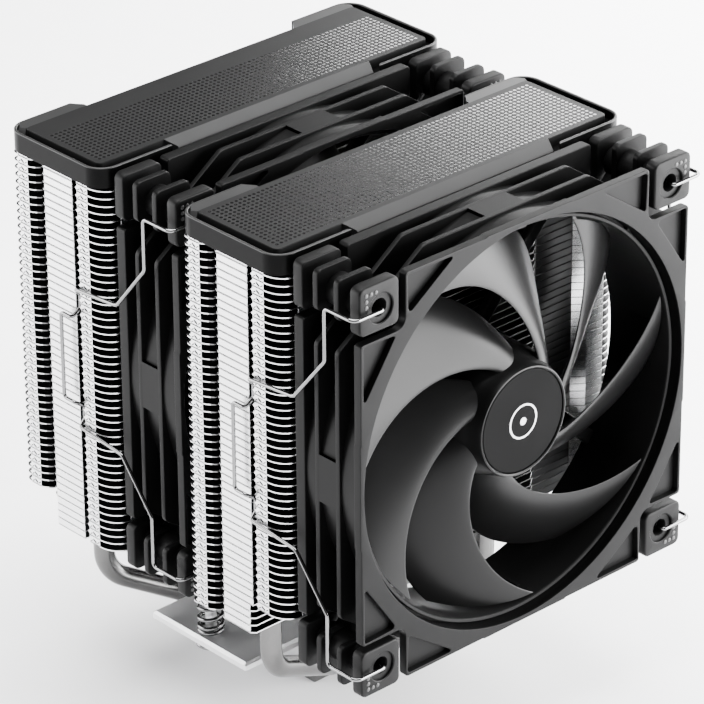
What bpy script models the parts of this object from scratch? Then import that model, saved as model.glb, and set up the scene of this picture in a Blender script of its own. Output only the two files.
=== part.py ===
"""A twin-tower CPU air cooler with two 120 mm fans.

The origin is the centre of the cold plate's underside. X is the fans' width, +Y is the way the air
blows, and Z is up. Driving dimensions are in millimetres and are scaled to metres as meshes are made.
"""
import math

import bmesh
import bpy
from mathutils import Matrix, Vector

MM = 0.001
WELD = 0.00001
GAP = 0.3
SIDES = (("left", -1), ("right", 1))

# Overall layout
TOTAL_HEIGHT = 160.0
FAN_SIZE = 119.0
FAN_DEPTH = 25.0
FAN_AXIS_Z = 100.0
TOWER_Y = 35.0
FRONT_FAN_Y = -81.7
MIDDLE_FAN_Y = -11.7

# Base
PLATE_X, PLATE_Y, COLD_PLATE_T = 40.0, 38.0, 3.0
BLOCK_TOP = 14.7
PIPE_R = 3.0
PIPE_PITCH = 6.3
PIPE_Z = COLD_PLATE_T + GAP + PIPE_R
PIPE_FIN_X = (10.0, 30.0, 50.0)
PIPE_TOP = 157.0
PIPE_BEND_Z = 27.0
PIPE_RUN_END, PIPE_STAGGER = 26.0, 1.4
PIPE_BEND_R, PIPE_FOOT_R = 11.0, 5.0

# Crossbar and its screws
BAR_X, BAR_Y, BAR_Z, BAR_T = 92.0, 39.4, 15.0, 2.5
SCREW_X = 41.2
SCREW_R, SCREW_TIP_R, SCREW_TIP_Z = 1.6, 2.1, 12.8
SCREW_HEAD_R, SCREW_HEAD_H = 4.0, 3.2
RING_R, RING_Z, RING_T = 3.6, 13.6, 0.9
SPRING_R = 3.4
SPRING_WIRE_R = 0.6
SPRING_TURNS = 5
SPRING_LENGTH = 13.0
WASHER_T = 0.8
TIE_SCREW_X = 14.0

# Fin stacks
FIN_COUNT = 50
FIN_PITCH = 2.234
FIN_T = 0.45
FIN_HALF_X = 61.7
FIN_HALF_Y = 19.0
FIN_BOTTOM = 43.0
SPINE_HALF_X, SPINE_HALF_Y = 56.0, 4.6
SHORT_FINS = 4
SHORT_FIN_CUT = 12.7
GROOVE_Y = -7.4
GROOVE_DEPTH = 2.2
GROOVE_HALF = 1.2
GROOVE_REACH = 24.0

# Top covers
COVER_HALF_X, COVER_HALF_Y = 63.0, 19.7
COVER_H = 6.0
COVER_WALL = 1.4
COVER_TOP_T = 1.8
COVER_CORNER = 6.0
EAR_INNER_X = 40.5
REAR_RECESS = 3.3
RAMP_X, RAMP_REACH, RAMP_DROP = 36.6, 0.9, 1.6
RIM_W, TRENCH_W, TRENCH_DEPTH = 1.1, 1.9, 1.0

# Fan frame, with depths counted from the front face
PAD_SIZE, PAD_T, PAD_CORNER = 13.6, 3.6, 1.6
HOLE_PITCH = 105.0
HOLE_R = 2.3
CHANNEL = 2.1
FLANGE_T = 2.4
MOUTH_R = 58.2
BORE_R = 56.4
TUBE_R = 58.8
RIB_DEPTHS = (8.0, 15.8)
RIB_T = 1.6
RIB_CUT_X, RIB_CUT_Z = 29.8, 20.6
LEAF_SIZE = 11.8
WEB_HALF = 6.6
WEB_T = 1.6
COLUMN_R = 4.2
MOTOR_PLATE_R = 19.0
MOTOR_PLATE_DEPTH = 21.8
STRUT_COUNT = 4
STRUT_W, STRUT_T = 4.0, 2.2
STRUT_OFFSET, STRUT_ANGLE = -9.6, -43.2

# Rotor
BLADE_COUNT = 7
BLADE_TIP_R = 55.4
HUB_R, HUB_WALL, HUB_FACE_R = 18.5, 1.2, 15.6
HUB_FRONT, HUB_REAR = 1.6, 20.8
BADGE_R, BADGE_T = 14.8, 0.8
BLADE_T = 1.0
MAGNET_R, MAGNET_T = 16.9, 1.3
SHAFT_R, BEARING_R = 1.5, 3.4

# Wire clips, with places counted from the fan's front face and the fan's axis
WIRE_R = 0.6
CLIP_SIDE_X = 62.6
CLIP_GROOVE_X = 61.0
CLIP_PULL_X = 64.0
CLIP_PAD_Y = -1.0
CLIP_GROOVE_Y = 39.3
CLIP_BENDS = (0.9, 1.8, 1.5, 2.0, 2.0, 0.7, 0.8, 0.8, 1.0, 1.2)


def material(name, color, roughness, metallic):
    """Return a new Principled material."""
    made = bpy.data.materials.new(name)
    made.use_nodes = True
    shader = made.node_tree.nodes["Principled BSDF"]
    shader.inputs["Base Color"].default_value = (*color, 1.0)
    shader.inputs["Roughness"].default_value = roughness
    shader.inputs["Metallic"].default_value = metallic
    return made


def clear_scene():
    """Remove every object and make the two collections."""
    for old in list(bpy.data.objects):
        bpy.data.objects.remove(old, do_unlink=True)
    for name in ("cpu_cooler", "cutters"):
        bpy.context.scene.collection.children.link(bpy.data.collections.new(name))


def add_object(name, mesh, finish=None):
    """Link a mesh to the cooler's collection."""
    piece = bpy.data.objects.new(name, mesh)
    bpy.data.collections["cpu_cooler"].objects.link(piece)
    if finish:
        mesh.materials.clear()
        mesh.materials.append(finish)
    return piece


def smooth(piece, angle=35.0):
    """Shade a piece smooth, with edges sharper than the angle kept."""
    piece.data.shade_smooth()
    piece.data.set_sharp_from_angle(angle=math.radians(angle))
    return piece


def mesh_from(bm, name):
    """Turn a bmesh in millimetres into a mesh in metres."""
    bmesh.ops.scale(bm, vec=(MM, MM, MM), verts=bm.verts)
    mesh = bpy.data.meshes.new(name)
    bm.to_mesh(mesh)
    bm.free()
    return mesh


def box(name, low, high, finish=None):
    """A box between two corners."""
    bm = bmesh.new()
    bmesh.ops.create_cube(bm, size=1.0)
    low, high = Vector(low), Vector(high)
    bmesh.ops.scale(bm, vec=high - low, verts=bm.verts)
    bmesh.ops.translate(bm, vec=(low + high) / 2, verts=bm.verts)
    return add_object(name, mesh_from(bm, name), finish)


def cylinder(name, radius, start, end, segments=24, finish=None, top_radius=None):
    """A cylinder or cone between two points."""
    start, end = Vector(start), Vector(end)
    bm = bmesh.new()
    bmesh.ops.create_cone(bm, cap_ends=True, segments=segments, radius1=radius,
                          radius2=radius if top_radius is None else top_radius,
                          depth=(end - start).length)
    turn = Vector((0, 0, 1)).rotation_difference(end - start).to_matrix().to_4x4()
    bmesh.ops.transform(bm, matrix=Matrix.Translation((start + end) / 2) @ turn, verts=bm.verts)
    return add_object(name, mesh_from(bm, name), finish)


def arc(center, radius, start, end, steps):
    """Points along an arc, with angles in degrees."""
    angles = [math.radians(start + (end - start) * i / steps) for i in range(steps + 1)]
    return [(center[0] + radius * math.cos(a), center[1] + radius * math.sin(a)) for a in angles]


def circle(center, radius, steps):
    """Points around a full circle."""
    return arc(center, radius, 0, 360, steps)[:-1]


def rounded_rectangle(half_x, half_y, radius, steps=4, center=(0, 0)):
    """The outline of a rectangle with round corners."""
    points = []
    for start, sx, sy in ((0, 1, 1), (90, -1, 1), (180, -1, -1), (270, 1, -1)):
        middle = (center[0] + sx * (half_x - radius), center[1] + sy * (half_y - radius))
        points += arc(middle, radius, start, start + 90, steps)
    return points


def curve_to_mesh(curve_object, name, finish=None):
    """Replace a curve object by its welded mesh."""
    graph = bpy.context.evaluated_depsgraph_get()
    mesh = bpy.data.meshes.new_from_object(curve_object.evaluated_get(graph))
    bm = bmesh.new()
    bm.from_mesh(mesh)
    bmesh.ops.remove_doubles(bm, verts=bm.verts, dist=WELD)
    bmesh.ops.recalc_face_normals(bm, faces=bm.faces)
    bm.to_mesh(mesh)
    bm.free()
    place = curve_object.matrix_world.copy()
    bpy.data.objects.remove(curve_object, do_unlink=True)
    piece = add_object(name, mesh, finish)
    piece.matrix_world = place
    return piece


def spline(data, points, cyclic):
    """Add one poly spline to a curve."""
    line = data.splines.new("POLY")
    line.points.add(len(points) - 1)
    for target, point in zip(line.points, points):
        target.co = (*[value * MM for value in point], *([0.0] * (3 - len(point))), 1.0)
    line.use_cyclic_u = cyclic


def plate(name, outlines, low, high, finish=None):
    """A flat plate from a 2D curve: the first outline is the edge, the others are holes."""
    data = bpy.data.curves.new(name, "CURVE")
    data.dimensions = "2D"
    data.fill_mode = "BOTH"
    data.extrude = (high - low) / 2 * MM
    for outline in outlines:
        spline(data, outline, True)
    flat = bpy.data.objects.new(name + "_outline", data)
    bpy.data.collections["cutters"].objects.link(flat)
    bpy.context.view_layer.update()
    piece = curve_to_mesh(flat, name, finish)
    piece.data.transform(Matrix.Translation((0, 0, (low + high) / 2 * MM)))
    return piece


def wire(name, points, radius, finish, detail=1):
    """A round wire or tube along a list of points."""
    data = bpy.data.curves.new(name, "CURVE")
    data.dimensions = "3D"
    data.bevel_depth = radius * MM
    data.bevel_resolution = detail
    data.use_fill_caps = True
    spline(data, points, False)
    line = bpy.data.objects.new(name + "_path", data)
    bpy.data.collections["cutters"].objects.link(line)
    bpy.context.view_layer.update()
    return curve_to_mesh(line, name, finish)


def bend_path(points, radii, steps):
    """Round each inner corner of a path with an arc of the given radius."""
    points = [Vector(point) for point in points]
    path = [points[0]]
    for before, corner, after, radius in zip(points, points[1:], points[2:], radii):
        back, ahead = (before - corner).normalized(), (after - corner).normalized()
        half = back.angle(ahead) / 2
        reach = radius / math.tan(half)
        center = corner + (back + ahead).normalized() * radius / math.sin(half)
        start = corner + back * reach - center
        end = corner + ahead * reach - center
        swing = start.angle(end)
        for i in range(steps + 1):
            share = i / steps
            path.append(center + (start * math.sin(swing * (1 - share)) + end * math.sin(swing * share))
                        / math.sin(swing))
    path.append(points[-1])
    return [tuple(point) for point in path]


def turned(name, profile, segments, finish=None):
    """Turn a closed profile of (radius, height) points about Z with a Screw modifier."""
    bm = bmesh.new()
    ring = [bm.verts.new((radius, 0, height)) for radius, height in profile]
    for start, end in zip(ring, ring[1:] + ring[:1]):
        bm.edges.new((start, end))
    piece = add_object(name, mesh_from(bm, name), finish)
    screw = piece.modifiers.new("turn", "SCREW")
    screw.steps = screw.render_steps = segments
    screw.use_merge_vertices = True
    screw.merge_threshold = WELD
    return face_outwards(apply_modifiers(piece))


def face_outwards(piece):
    """Make a closed piece's faces point outwards."""
    bm = bmesh.new()
    bm.from_mesh(piece.data)
    bmesh.ops.recalc_face_normals(bm, faces=bm.faces)
    bm.to_mesh(piece.data)
    bm.free()
    return piece


def apply_modifiers(piece):
    """Replace a piece's mesh by its evaluated mesh."""
    bpy.context.view_layer.update()
    graph = bpy.context.evaluated_depsgraph_get()
    mesh = bpy.data.meshes.new_from_object(piece.evaluated_get(graph))
    piece.modifiers.clear()
    piece.data = mesh
    return piece


def combine(piece, others, operation):
    """Apply Boolean operations with other pieces, which are used up."""
    for other in others:
        change = piece.modifiers.new(operation.lower(), "BOOLEAN")
        change.operation = operation
        change.object = other
        apply_modifiers(piece)
        bpy.data.objects.remove(other, do_unlink=True)
    bm = bmesh.new()
    bm.from_mesh(piece.data)
    bmesh.ops.remove_doubles(bm, verts=bm.verts, dist=WELD)
    bm.to_mesh(piece.data)
    bm.free()
    return piece


def fuse(piece, *others):
    """Unite pieces into one body."""
    return combine(piece, others, "UNION")


def cut(piece, *others):
    """Cut pieces away."""
    return combine(piece, others, "DIFFERENCE")


def finish_with(piece, finish):
    """Give a piece one material."""
    piece.data.materials.clear()
    piece.data.materials.append(finish)
    return piece


def move_mesh(piece, matrix):
    """Transform a piece's mesh by a matrix in millimetres."""
    scaled = matrix.copy()
    scaled.translation = matrix.translation * MM
    piece.data.transform(scaled)
    return piece


def copy_piece(piece, name, location):
    """A second object that shares a piece's mesh."""
    twin = add_object(name, piece.data)
    twin.location = Vector(location) * MM
    return twin


def base(nickel, aluminium):
    """The cold plate, and the block that holds the pipes against it."""
    half_x, half_y = PLATE_X / 2, PLATE_Y / 2
    box("cold_plate", (-half_x, -half_y, 0), (half_x, half_y, COLD_PLATE_T), nickel)
    block = box("base_block", (-half_x, -half_y, COLD_PLATE_T + GAP), (half_x, half_y, BLOCK_TOP))
    slot_half = 2.5 * PIPE_PITCH + PIPE_R + GAP
    slot_top = PIPE_Z + PIPE_R + GAP
    cut(block, box("slot", (-slot_half, -half_y - 1, 0), (slot_half, half_y + 1, slot_top)))
    holes = [cylinder("tie_hole", 1.6, (x, 0, slot_top + 1), (x, 0, BLOCK_TOP + 1), 12)
             for x in (-TIE_SCREW_X, TIE_SCREW_X)]
    finish_with(cut(block, *holes), aluminium)


def heat_pipes(nickel):
    """Six U-shaped pipes, packed side by side in the base and fanned out in the fins."""
    for index in range(6):
        side = -1 if index < 3 else 1
        base_x = (index - 2.5) * PIPE_PITCH
        rank = 2 - index if index < 3 else index - 3
        fin_x = side * PIPE_FIN_X[rank]
        spread = abs(fin_x - base_x)
        half = [(fin_x, TOWER_Y, PIPE_TOP), (fin_x, TOWER_Y, PIPE_BEND_Z - spread * 0.05),
                (base_x, PIPE_RUN_END - PIPE_STAGGER * rank, PIPE_Z)]
        corners = [(x, -y, z) for x, y, z in half] + half[::-1]
        path = bend_path(corners, (PIPE_BEND_R, PIPE_FOOT_R, PIPE_FOOT_R, PIPE_BEND_R), 3)
        smooth(wire(f"heat_pipe_{index + 1}", path, PIPE_R, nickel, 2), 60)


def crossbar(steel):
    """The mounting bar, with holes for its spring screws and its tie screws."""
    outline = rounded_rectangle(BAR_X / 2, BAR_Y / 2, 0.8, 2)
    holes = [circle((sign * SCREW_X, 0), SCREW_R + 0.4, 16) for _, sign in SIDES]
    holes += [circle((sign * TIE_SCREW_X, 0), 1.6, 12) for _, sign in SIDES]
    plate("mounting_crossbar", [outline] + holes, BAR_Z, BAR_Z + BAR_T, steel)
    for side, sign in SIDES:
        x = sign * TIE_SCREW_X
        head = cylinder("head", 2.8, (x, 0, BAR_Z + BAR_T + GAP), (x, 0, BAR_Z + BAR_T + 1.9), 16)
        shank = cylinder("shank", 1.2, (x, 0, 11.2), (x, 0, BAR_Z + BAR_T + 1), 12)
        socket = cylinder("socket", 1.2, (x, 0, BAR_Z + BAR_T + 1.0), (x, 0, BAR_Z + BAR_T + 3), 6)
        screw = cut(fuse(head, shank), socket)
        screw.name = f"{side}_tie_screw"
        finish_with(screw, steel)


def spring_screw(side, sign, steel, spring_steel):
    """One captive screw: washer, spring, screw and retaining ring. Its axis is at SCREW_X."""
    top = BAR_Z + BAR_T
    washer_z = top + SPRING_LENGTH + GAP
    place = Vector((sign * SCREW_X, 0, 0)) * MM
    washer = plate(f"{side}_screw_washer", [circle((0, 0), 3.9, 20), circle((0, 0), SCREW_R + GAP, 12)],
                   washer_z, washer_z + WASHER_T, steel)
    head_z = washer_z + WASHER_T + GAP
    head = cylinder("head", SCREW_HEAD_R, (0, 0, head_z), (0, 0, head_z + SCREW_HEAD_H), 20)
    shank = cylinder("shank", SCREW_R, (0, 0, SCREW_TIP_Z + 0.1), (0, 0, head_z + 1), 12)
    collar = cylinder("collar", SCREW_TIP_R, (0, 0, SCREW_TIP_Z), (0, 0, RING_Z - GAP), 12)
    slots = [box("slot", (-2.4, -0.45, head_z + 2.0), (2.4, 0.45, head_z + 4)),
             box("slot", (-0.45, -2.4, head_z + 2.0), (0.45, 2.4, head_z + 4))]
    screw = cut(fuse(shank, head, collar), *slots)
    screw.name = f"{side}_spring_screw"
    finish_with(screw, steel)
    ring = plate(f"{side}_retaining_ring",
                 [arc((0, 0), RING_R, 40, 320, 12) + arc((0, 0), SCREW_R + GAP, 320, 40, 8)],
                 RING_Z, RING_Z + RING_T, steel)
    coil_low = top + GAP + SPRING_WIRE_R
    rise = SPRING_LENGTH - 2 * SPRING_WIRE_R - 2 * GAP
    per_turn = 8
    coil = []
    for i in range(SPRING_TURNS * per_turn + 1):
        angle = 2 * math.pi * i / per_turn
        coil.append((SPRING_R * math.cos(angle), SPRING_R * math.sin(angle),
                     coil_low + rise * i / (SPRING_TURNS * per_turn)))
    spring = wire(f"{side}_screw_spring", coil, SPRING_WIRE_R, spring_steel)
    for piece in (washer, screw, ring, spring):
        piece.location = place
        smooth(piece)


def fin_stack(name, sign, finish):
    """Fifty plates on a spine that stands for the collars round the pipes."""
    fins = box("fins", (-FIN_HALF_X, -FIN_HALF_Y, FIN_BOTTOM), (FIN_HALF_X, FIN_HALF_Y, FIN_BOTTOM + FIN_T))
    rows = fins.modifiers.new("rows", "ARRAY")
    rows.count = FIN_COUNT
    rows.use_relative_offset = False
    rows.use_constant_offset = True
    rows.constant_offset_displace = (0, 0, FIN_PITCH * MM)
    apply_modifiers(fins)
    stack_top = FIN_BOTTOM + FIN_T + (FIN_COUNT - 1) * FIN_PITCH
    spine = box("spine", (-SPINE_HALF_X, -SPINE_HALF_Y, FIN_BOTTOM + FIN_T / 2),
                (SPINE_HALF_X, SPINE_HALF_Y, stack_top - FIN_T / 2))
    fuse(fins, spine)
    short_top = FIN_BOTTOM + (SHORT_FINS - 0.5) * FIN_PITCH
    outer = sign * FIN_HALF_Y
    inner = outer - sign * SHORT_FIN_CUT
    cutters = [box("ear_cut", (-70, min(inner, outer + sign), FIN_BOTTOM - 1),
                   (70, max(inner, outer + sign), short_top))]
    for side in (-1, 1):
        edge, bottom = side * (FIN_HALF_X + 1), side * (FIN_HALF_X - GROOVE_DEPTH)
        cutters.append(box("clip_groove",
                           (min(edge, bottom), GROOVE_Y - GROOVE_HALF, FAN_AXIS_Z - GROOVE_REACH),
                           (max(edge, bottom), GROOVE_Y + GROOVE_HALF, FAN_AXIS_Z + GROOVE_REACH)))
    for x in PIPE_FIN_X:
        for side in (-1, 1):
            cutters.append(cylinder("bore", PIPE_R + GAP, (side * x, 0, FIN_BOTTOM - 1),
                                    (side * x, 0, stack_top + 1), 12))
    stack = finish_with(cut(fins, *cutters), finish)
    stack.name = name
    stack.location.y = sign * TOWER_Y * MM
    return stack


def cover_outline(inset=0.0):
    """Outline of a cover: round outer corners, ears at both ends, a recessed middle at the rear."""
    x, y, radius = COVER_HALF_X - inset, COVER_HALF_Y - inset, COVER_CORNER - inset
    ear = EAR_INNER_X + inset
    recess = REAR_RECESS
    points = arc((x - radius, y - radius), radius, 0, 90, 3)
    points += [(ear, y), (ear - 1.5, y - recess), (-ear + 1.5, y - recess), (-ear, y)]
    points += arc((-x + radius, y - radius), radius, 90, 180, 3)
    points += arc((-x + radius, -y + radius), radius, 180, 270, 3)
    points += arc((x - radius, -y + radius), radius, 270, 360, 3)
    return points


def top_cover(name, sign, finish):
    """A tray over the fins: raised middle, trench inside the rim, and a sloping front lip."""
    low = TOTAL_HEIGHT - COVER_H
    cover = plate(name, [cover_outline()], low, TOTAL_HEIGHT)
    pocket = plate("pocket", [cover_outline(COVER_WALL)], low - 1, TOTAL_HEIGHT - COVER_TOP_T)
    trenches = []
    inner_x = COVER_HALF_X - RIM_W - TRENCH_W
    for side in (-1, 1):
        edges = sorted((side * inner_x, side * (COVER_HALF_X - RIM_W)))
        end_y = COVER_HALF_Y - RIM_W
        trenches.append(box("trench", (edges[0], -end_y + 3.0, TOTAL_HEIGHT - TRENCH_DEPTH),
                            (edges[1], end_y - 3.0, TOTAL_HEIGHT + 1)))
    lip_front, lip_back = -COVER_HALF_Y - RAMP_REACH, -COVER_HALF_Y + 3.5
    cover = cut(cover, pocket, *trenches)
    slope = [(lip_front, TOTAL_HEIGHT - RAMP_DROP), (lip_back, TOTAL_HEIGHT + 0.01),
             (lip_back, TOTAL_HEIGHT + 1), (lip_front - 2, TOTAL_HEIGHT + 1),
             (lip_front - 2, TOTAL_HEIGHT - RAMP_DROP)]
    ramp_cut = plate("ramp_cut", [slope], -RAMP_X, RAMP_X)
    upright = Matrix(((0, 0, 1, 0), (1, 0, 0, 0), (0, 1, 0, 0), (0, 0, 0, 1)))
    cover = cut(cover, move_mesh(ramp_cut, upright))
    finish_with(cover, finish)
    cover.location.y = sign * TOWER_Y * MM
    return smooth(cover, 30)


def frame_outline():
    """The front flange: a square without its four corner squares."""
    half = FAN_SIZE / 2
    inner = half - PAD_SIZE - CHANNEL
    round_r = 3.0
    points = []
    for turn in range(4):
        quarter = [(half, inner)] + arc((inner + round_r, inner + round_r), round_r, 270, 180, 1)
        quarter += [(inner, half)]
        for x, z in quarter:
            for _ in range(turn):
                x, z = -z, x
            points.append((x, z))
    return points


def rib_outline():
    """A square with long corner cuts."""
    half = FAN_SIZE / 2
    x, z = half - RIB_CUT_X, half - RIB_CUT_Z
    return [(half, -z), (half, z), (x, half), (-x, half), (-half, z), (-half, -z), (-x, -half), (x, -half)]


def fan_frame(name, finish):
    """Frame in its own place: local Z is forward, with the front face at zero."""
    sides = 24
    tube = turned(name, [(BORE_R, -FAN_DEPTH), (BORE_R, -2.8), (MOUTH_R, -0.2), (TUBE_R, -0.2),
                         (TUBE_R, -FAN_DEPTH)], sides)
    hole = circle((0, 0), MOUTH_R + 0.3, sides)
    pieces = [plate("front_flange", [frame_outline(), hole], -FLANGE_T, 0)]
    pieces.append(plate("rear_flange", [frame_outline(), circle((0, 0), BORE_R + 0.8, sides)],
                        -FAN_DEPTH + 0.1, -FAN_DEPTH + FLANGE_T + 1.0))
    for depth in RIB_DEPTHS:
        pieces.append(plate("rib", [rib_outline(), circle((0, 0), BORE_R + 0.8, sides)],
                            -depth - RIB_T, -depth))
    outer = FAN_SIZE / 2 - 0.05
    for turn in range(4):
        web = box("side_web", (-WEB_HALF, outer - WEB_T, -RIB_DEPTHS[1] - 0.8),
                  (WEB_HALF, outer, -RIB_DEPTHS[0] - 0.8))
        pieces.append(move_mesh(web, Matrix.Rotation(math.pi / 2 * turn, 4, "Z")))
    frame = fuse(tube, *pieces)
    return finish_with(fuse(frame, *corner_columns(), *motor_mount()), finish)


def corner_columns():
    """Behind each front pad: a hollow column with two leaves and a web to the tube."""
    front, rear = -PAD_T - GAP, -FAN_DEPTH + PAD_T + GAP
    hole = HOLE_PITCH / 2
    columns = []
    for sx in (-1, 1):
        for sz in (-1, 1):
            center = (sx * hole, sz * hole)
            column = cylinder("column", COLUMN_R, (*center, rear), (*center, front), 8)
            for depth in RIB_DEPTHS:
                reach = (FAN_SIZE - LEAF_SIZE) / 2
                middle = (sx * reach, sz * reach)
                low = [value - LEAF_SIZE / 2 for value in middle]
                high = [value + LEAF_SIZE / 2 for value in middle]
                fuse(column, box("leaf", (*low, -depth - RIB_T - 0.1), (*high, -depth + 0.1)))
            web = box("web", (BORE_R + 1.2, -0.8, rear + 0.2), (hole * math.sqrt(2), 0.8, front - 0.2))
            angle = math.atan2(sz, sx)
            fuse(column, move_mesh(web, Matrix.Rotation(angle, 4, "Z")))
            bore = cylinder("bore", HOLE_R, (*center, rear - 1), (*center, front + 1), 8)
            columns.append(cut(column, bore))
    return columns


def motor_mount():
    """The plate behind the hub and the tilted struts that carry it."""
    low, high = -FAN_DEPTH + 0.2, -MOTOR_PLATE_DEPTH
    pieces = [cylinder("motor_plate", MOTOR_PLATE_R, (0, 0, low), (0, 0, high), 24)]
    for i in range(STRUT_COUNT):
        strut = box("strut", (-STRUT_W / 2, 0, low + 0.1), (STRUT_W / 2, BORE_R + 1.0, low + 0.1 + STRUT_T))
        offset = Matrix.Translation((STRUT_OFFSET, 0, 0))
        turn = Matrix.Rotation(math.radians(STRUT_ANGLE + 360 / STRUT_COUNT * i), 4, "Z")
        pieces.append(move_mesh(strut, turn @ offset))
    return pieces


def corner_pads(fan, front_y, finish):
    """Rubber pads at the fan's corners, four in front and four at the rear."""
    half = FAN_SIZE / 2 + 0.3
    for label, low, high in (("front", -PAD_T, 0), ("rear", -FAN_DEPTH, -FAN_DEPTH + PAD_T)):
        for side, sx in SIDES:
            for level, sz in (("lower", -1), ("upper", 1)):
                middle = (sx * (half - PAD_SIZE / 2), sz * (half - PAD_SIZE / 2))
                hole = circle((sx * HOLE_PITCH / 2, sz * HOLE_PITCH / 2), HOLE_R, 8)
                outline = rounded_rectangle(PAD_SIZE / 2, PAD_SIZE / 2, PAD_CORNER, 1, middle)
                name = f"{fan}_fan_{label}_pad_{level}_{side}"
                stand(plate(name, [outline, hole], low, high, finish), front_y)


def stand(piece, front_y):
    """Turn a piece made facing +Z so that it faces -Y, on the fan's axis."""
    piece.rotation_euler = (math.pi / 2, 0, 0)
    piece.location = Vector((0, front_y, FAN_AXIS_Z)) * MM
    return piece


def blade_edges(share):
    """Leading and trailing edge of a blade at a share of its span: (angle in degrees, depth)."""
    lead = (71.3 + 71.0 * share - 41.8 * share ** 2 + 22.2 * share ** 3,
            5.8 + 3.6 * share - 6.4 * share ** 2)
    trail = (35.2 + 57.8 * share - 23.2 * share ** 2 + 21.1 * share ** 3,
             14.0 + 10.0 * share - 8.5 * share ** 2)
    return lead, trail


def blade(index, spans=4, chords=3):
    """One swept blade, lofted between its root and its tip."""
    root = HUB_R - HUB_WALL / 2
    bm = bmesh.new()
    faces = []
    for side in (-1, 1):
        grid = []
        for i in range(spans + 1):
            share = i / spans
            radius = root + (BLADE_TIP_R - root) * share
            lead, trail = blade_edges(share)
            row = []
            for j in range(chords + 1):
                along = j / chords
                camber = 1.6 * 4 * along * (1 - along)
                thick = BLADE_T / 2 * (0.35 + 2.6 * along * (1 - along)) * (1.15 - 0.35 * share)
                angle = math.radians(lead[0] + (trail[0] - lead[0]) * along + 360 / BLADE_COUNT * index)
                depth = lead[1] + (trail[1] - lead[1]) * along + camber - side * thick
                row.append(bm.verts.new((radius * math.cos(angle), radius * math.sin(angle), -depth)))
            grid.append(row)
        faces.append(grid)
    back, front = faces
    for i in range(spans):
        for j in range(chords):
            bm.faces.new((front[i][j], front[i][j + 1], front[i + 1][j + 1], front[i + 1][j]))
            bm.faces.new((back[i][j], back[i + 1][j], back[i + 1][j + 1], back[i][j + 1]))
    rim = ([(i, 0) for i in range(spans)] + [(spans, j) for j in range(chords)]
           + [(i, chords) for i in range(spans, 0, -1)] + [(0, j) for j in range(chords, 0, -1)])
    for (i, j), (k, m) in zip(rim, rim[1:] + rim[:1]):
        bm.faces.new((front[i][j], front[k][m], back[k][m], back[i][j]))
    bmesh.ops.recalc_face_normals(bm, faces=bm.faces)
    return add_object("blade", mesh_from(bm, "blade"))


def rotor(name, finish):
    """Hub cup with its swept blades, in the fan's own place."""
    inner = HUB_R - HUB_WALL
    hub = turned(name, [(0.9, -HUB_FRONT - 1.3), (0.9, -HUB_FRONT - 2.6), (inner - 2.4, -HUB_FRONT - 2.6),
                        (inner, -7.0), (inner, -HUB_REAR), (HUB_R, -HUB_REAR), (HUB_R, -6.0),
                        (HUB_R - 0.9, -3.8), (HUB_FACE_R, -HUB_FRONT), (BADGE_R + GAP, -HUB_FRONT),
                        (BADGE_R + GAP, -HUB_FRONT - 1.3)], 24)
    blades = [blade(i) for i in range(BLADE_COUNT)]
    return finish_with(fuse(hub, *blades), finish)


def fan_inside(fan, finishes):
    """The badge, magnet ring, stator, circuit board, shaft and bearing of one fan."""
    low = -HUB_FRONT - 1.0
    badge = cylinder(f"{fan}_fan_hub_badge", BADGE_R, (0, 0, low), (0, 0, low + BADGE_T), 28,
                     finishes["badge"])
    magnet = turned(f"{fan}_fan_magnet_ring",
                    [(MAGNET_R - MAGNET_T, -HUB_REAR + 0.5), (MAGNET_R - MAGNET_T, -9.0), (MAGNET_R, -9.0),
                     (MAGNET_R, -HUB_REAR + 0.5)], 24, finishes["magnet"])
    stator = turned(f"{fan}_fan_stator",
                    [(4.4, -18.6), (4.4, -10.0), (14.6, -10.0), (14.6, -12.4), (9.0, -12.4), (9.0, -16.2),
                     (14.6, -16.2), (14.6, -18.6)], 16, finishes["copper"])
    board = plate(f"{fan}_fan_circuit_board", [circle((0, 0), 15.0, 20), circle((0, 0), 4.4, 12)],
                  -20.6, -19.4, finishes["board"])
    shaft = cylinder(f"{fan}_fan_shaft", SHAFT_R, (0, 0, -20.9), (0, 0, -4.5), 12, finishes["steel"])
    bearing = turned(f"{fan}_fan_bearing_sleeve",
                     [(SHAFT_R + GAP, -20.4), (SHAFT_R + GAP, -8.0), (BEARING_R, -8.0), (BEARING_R, -20.4)],
                     16, finishes["brass"])
    return badge, magnet, stator, board, shaft, bearing


def fan(label, front_y, finishes, first=None):
    """One fan. The second fan shares the first one's meshes."""
    if first is None:
        pieces = [fan_frame(f"{label}_fan_frame", finishes["plastic"]),
                  rotor(f"{label}_fan_rotor", finishes["blades"]), *fan_inside(label, finishes)]
        for piece in pieces:
            smooth(stand(piece, front_y), 40)
    else:
        pieces = []
        for piece in first:
            twin = copy_piece(piece, piece.name.replace("front", label, 1), (0, 0, 0))
            pieces.append(stand(twin, front_y))
    corner_pads(label, front_y, finishes["rubber"])
    return pieces


def clip_half(sign):
    """Upper half of a clip's path, from the tip in the fan's hole down to the finger pull."""
    tip, side = sign * HOLE_PITCH / 2, sign * CLIP_SIDE_X
    groove, pull = sign * CLIP_GROOVE_X, sign * CLIP_PULL_X
    return [(tip, CLIP_PAD_Y + 1.4, 52.4), (tip, CLIP_PAD_Y, 52.4), (side, CLIP_PAD_Y, 52.4),
            (side, 10.0, 52.4), (side, 10.0, 37.2), (side, 22.0, 22.6), (side, CLIP_GROOVE_Y, 21.0),
            (groove, CLIP_GROOVE_Y, 19.0), (groove, CLIP_GROOVE_Y, 15.0),
            (pull, CLIP_GROOVE_Y + 0.2, 13.0), (pull, CLIP_GROOVE_Y + 4.8, 13.0)]


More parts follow.
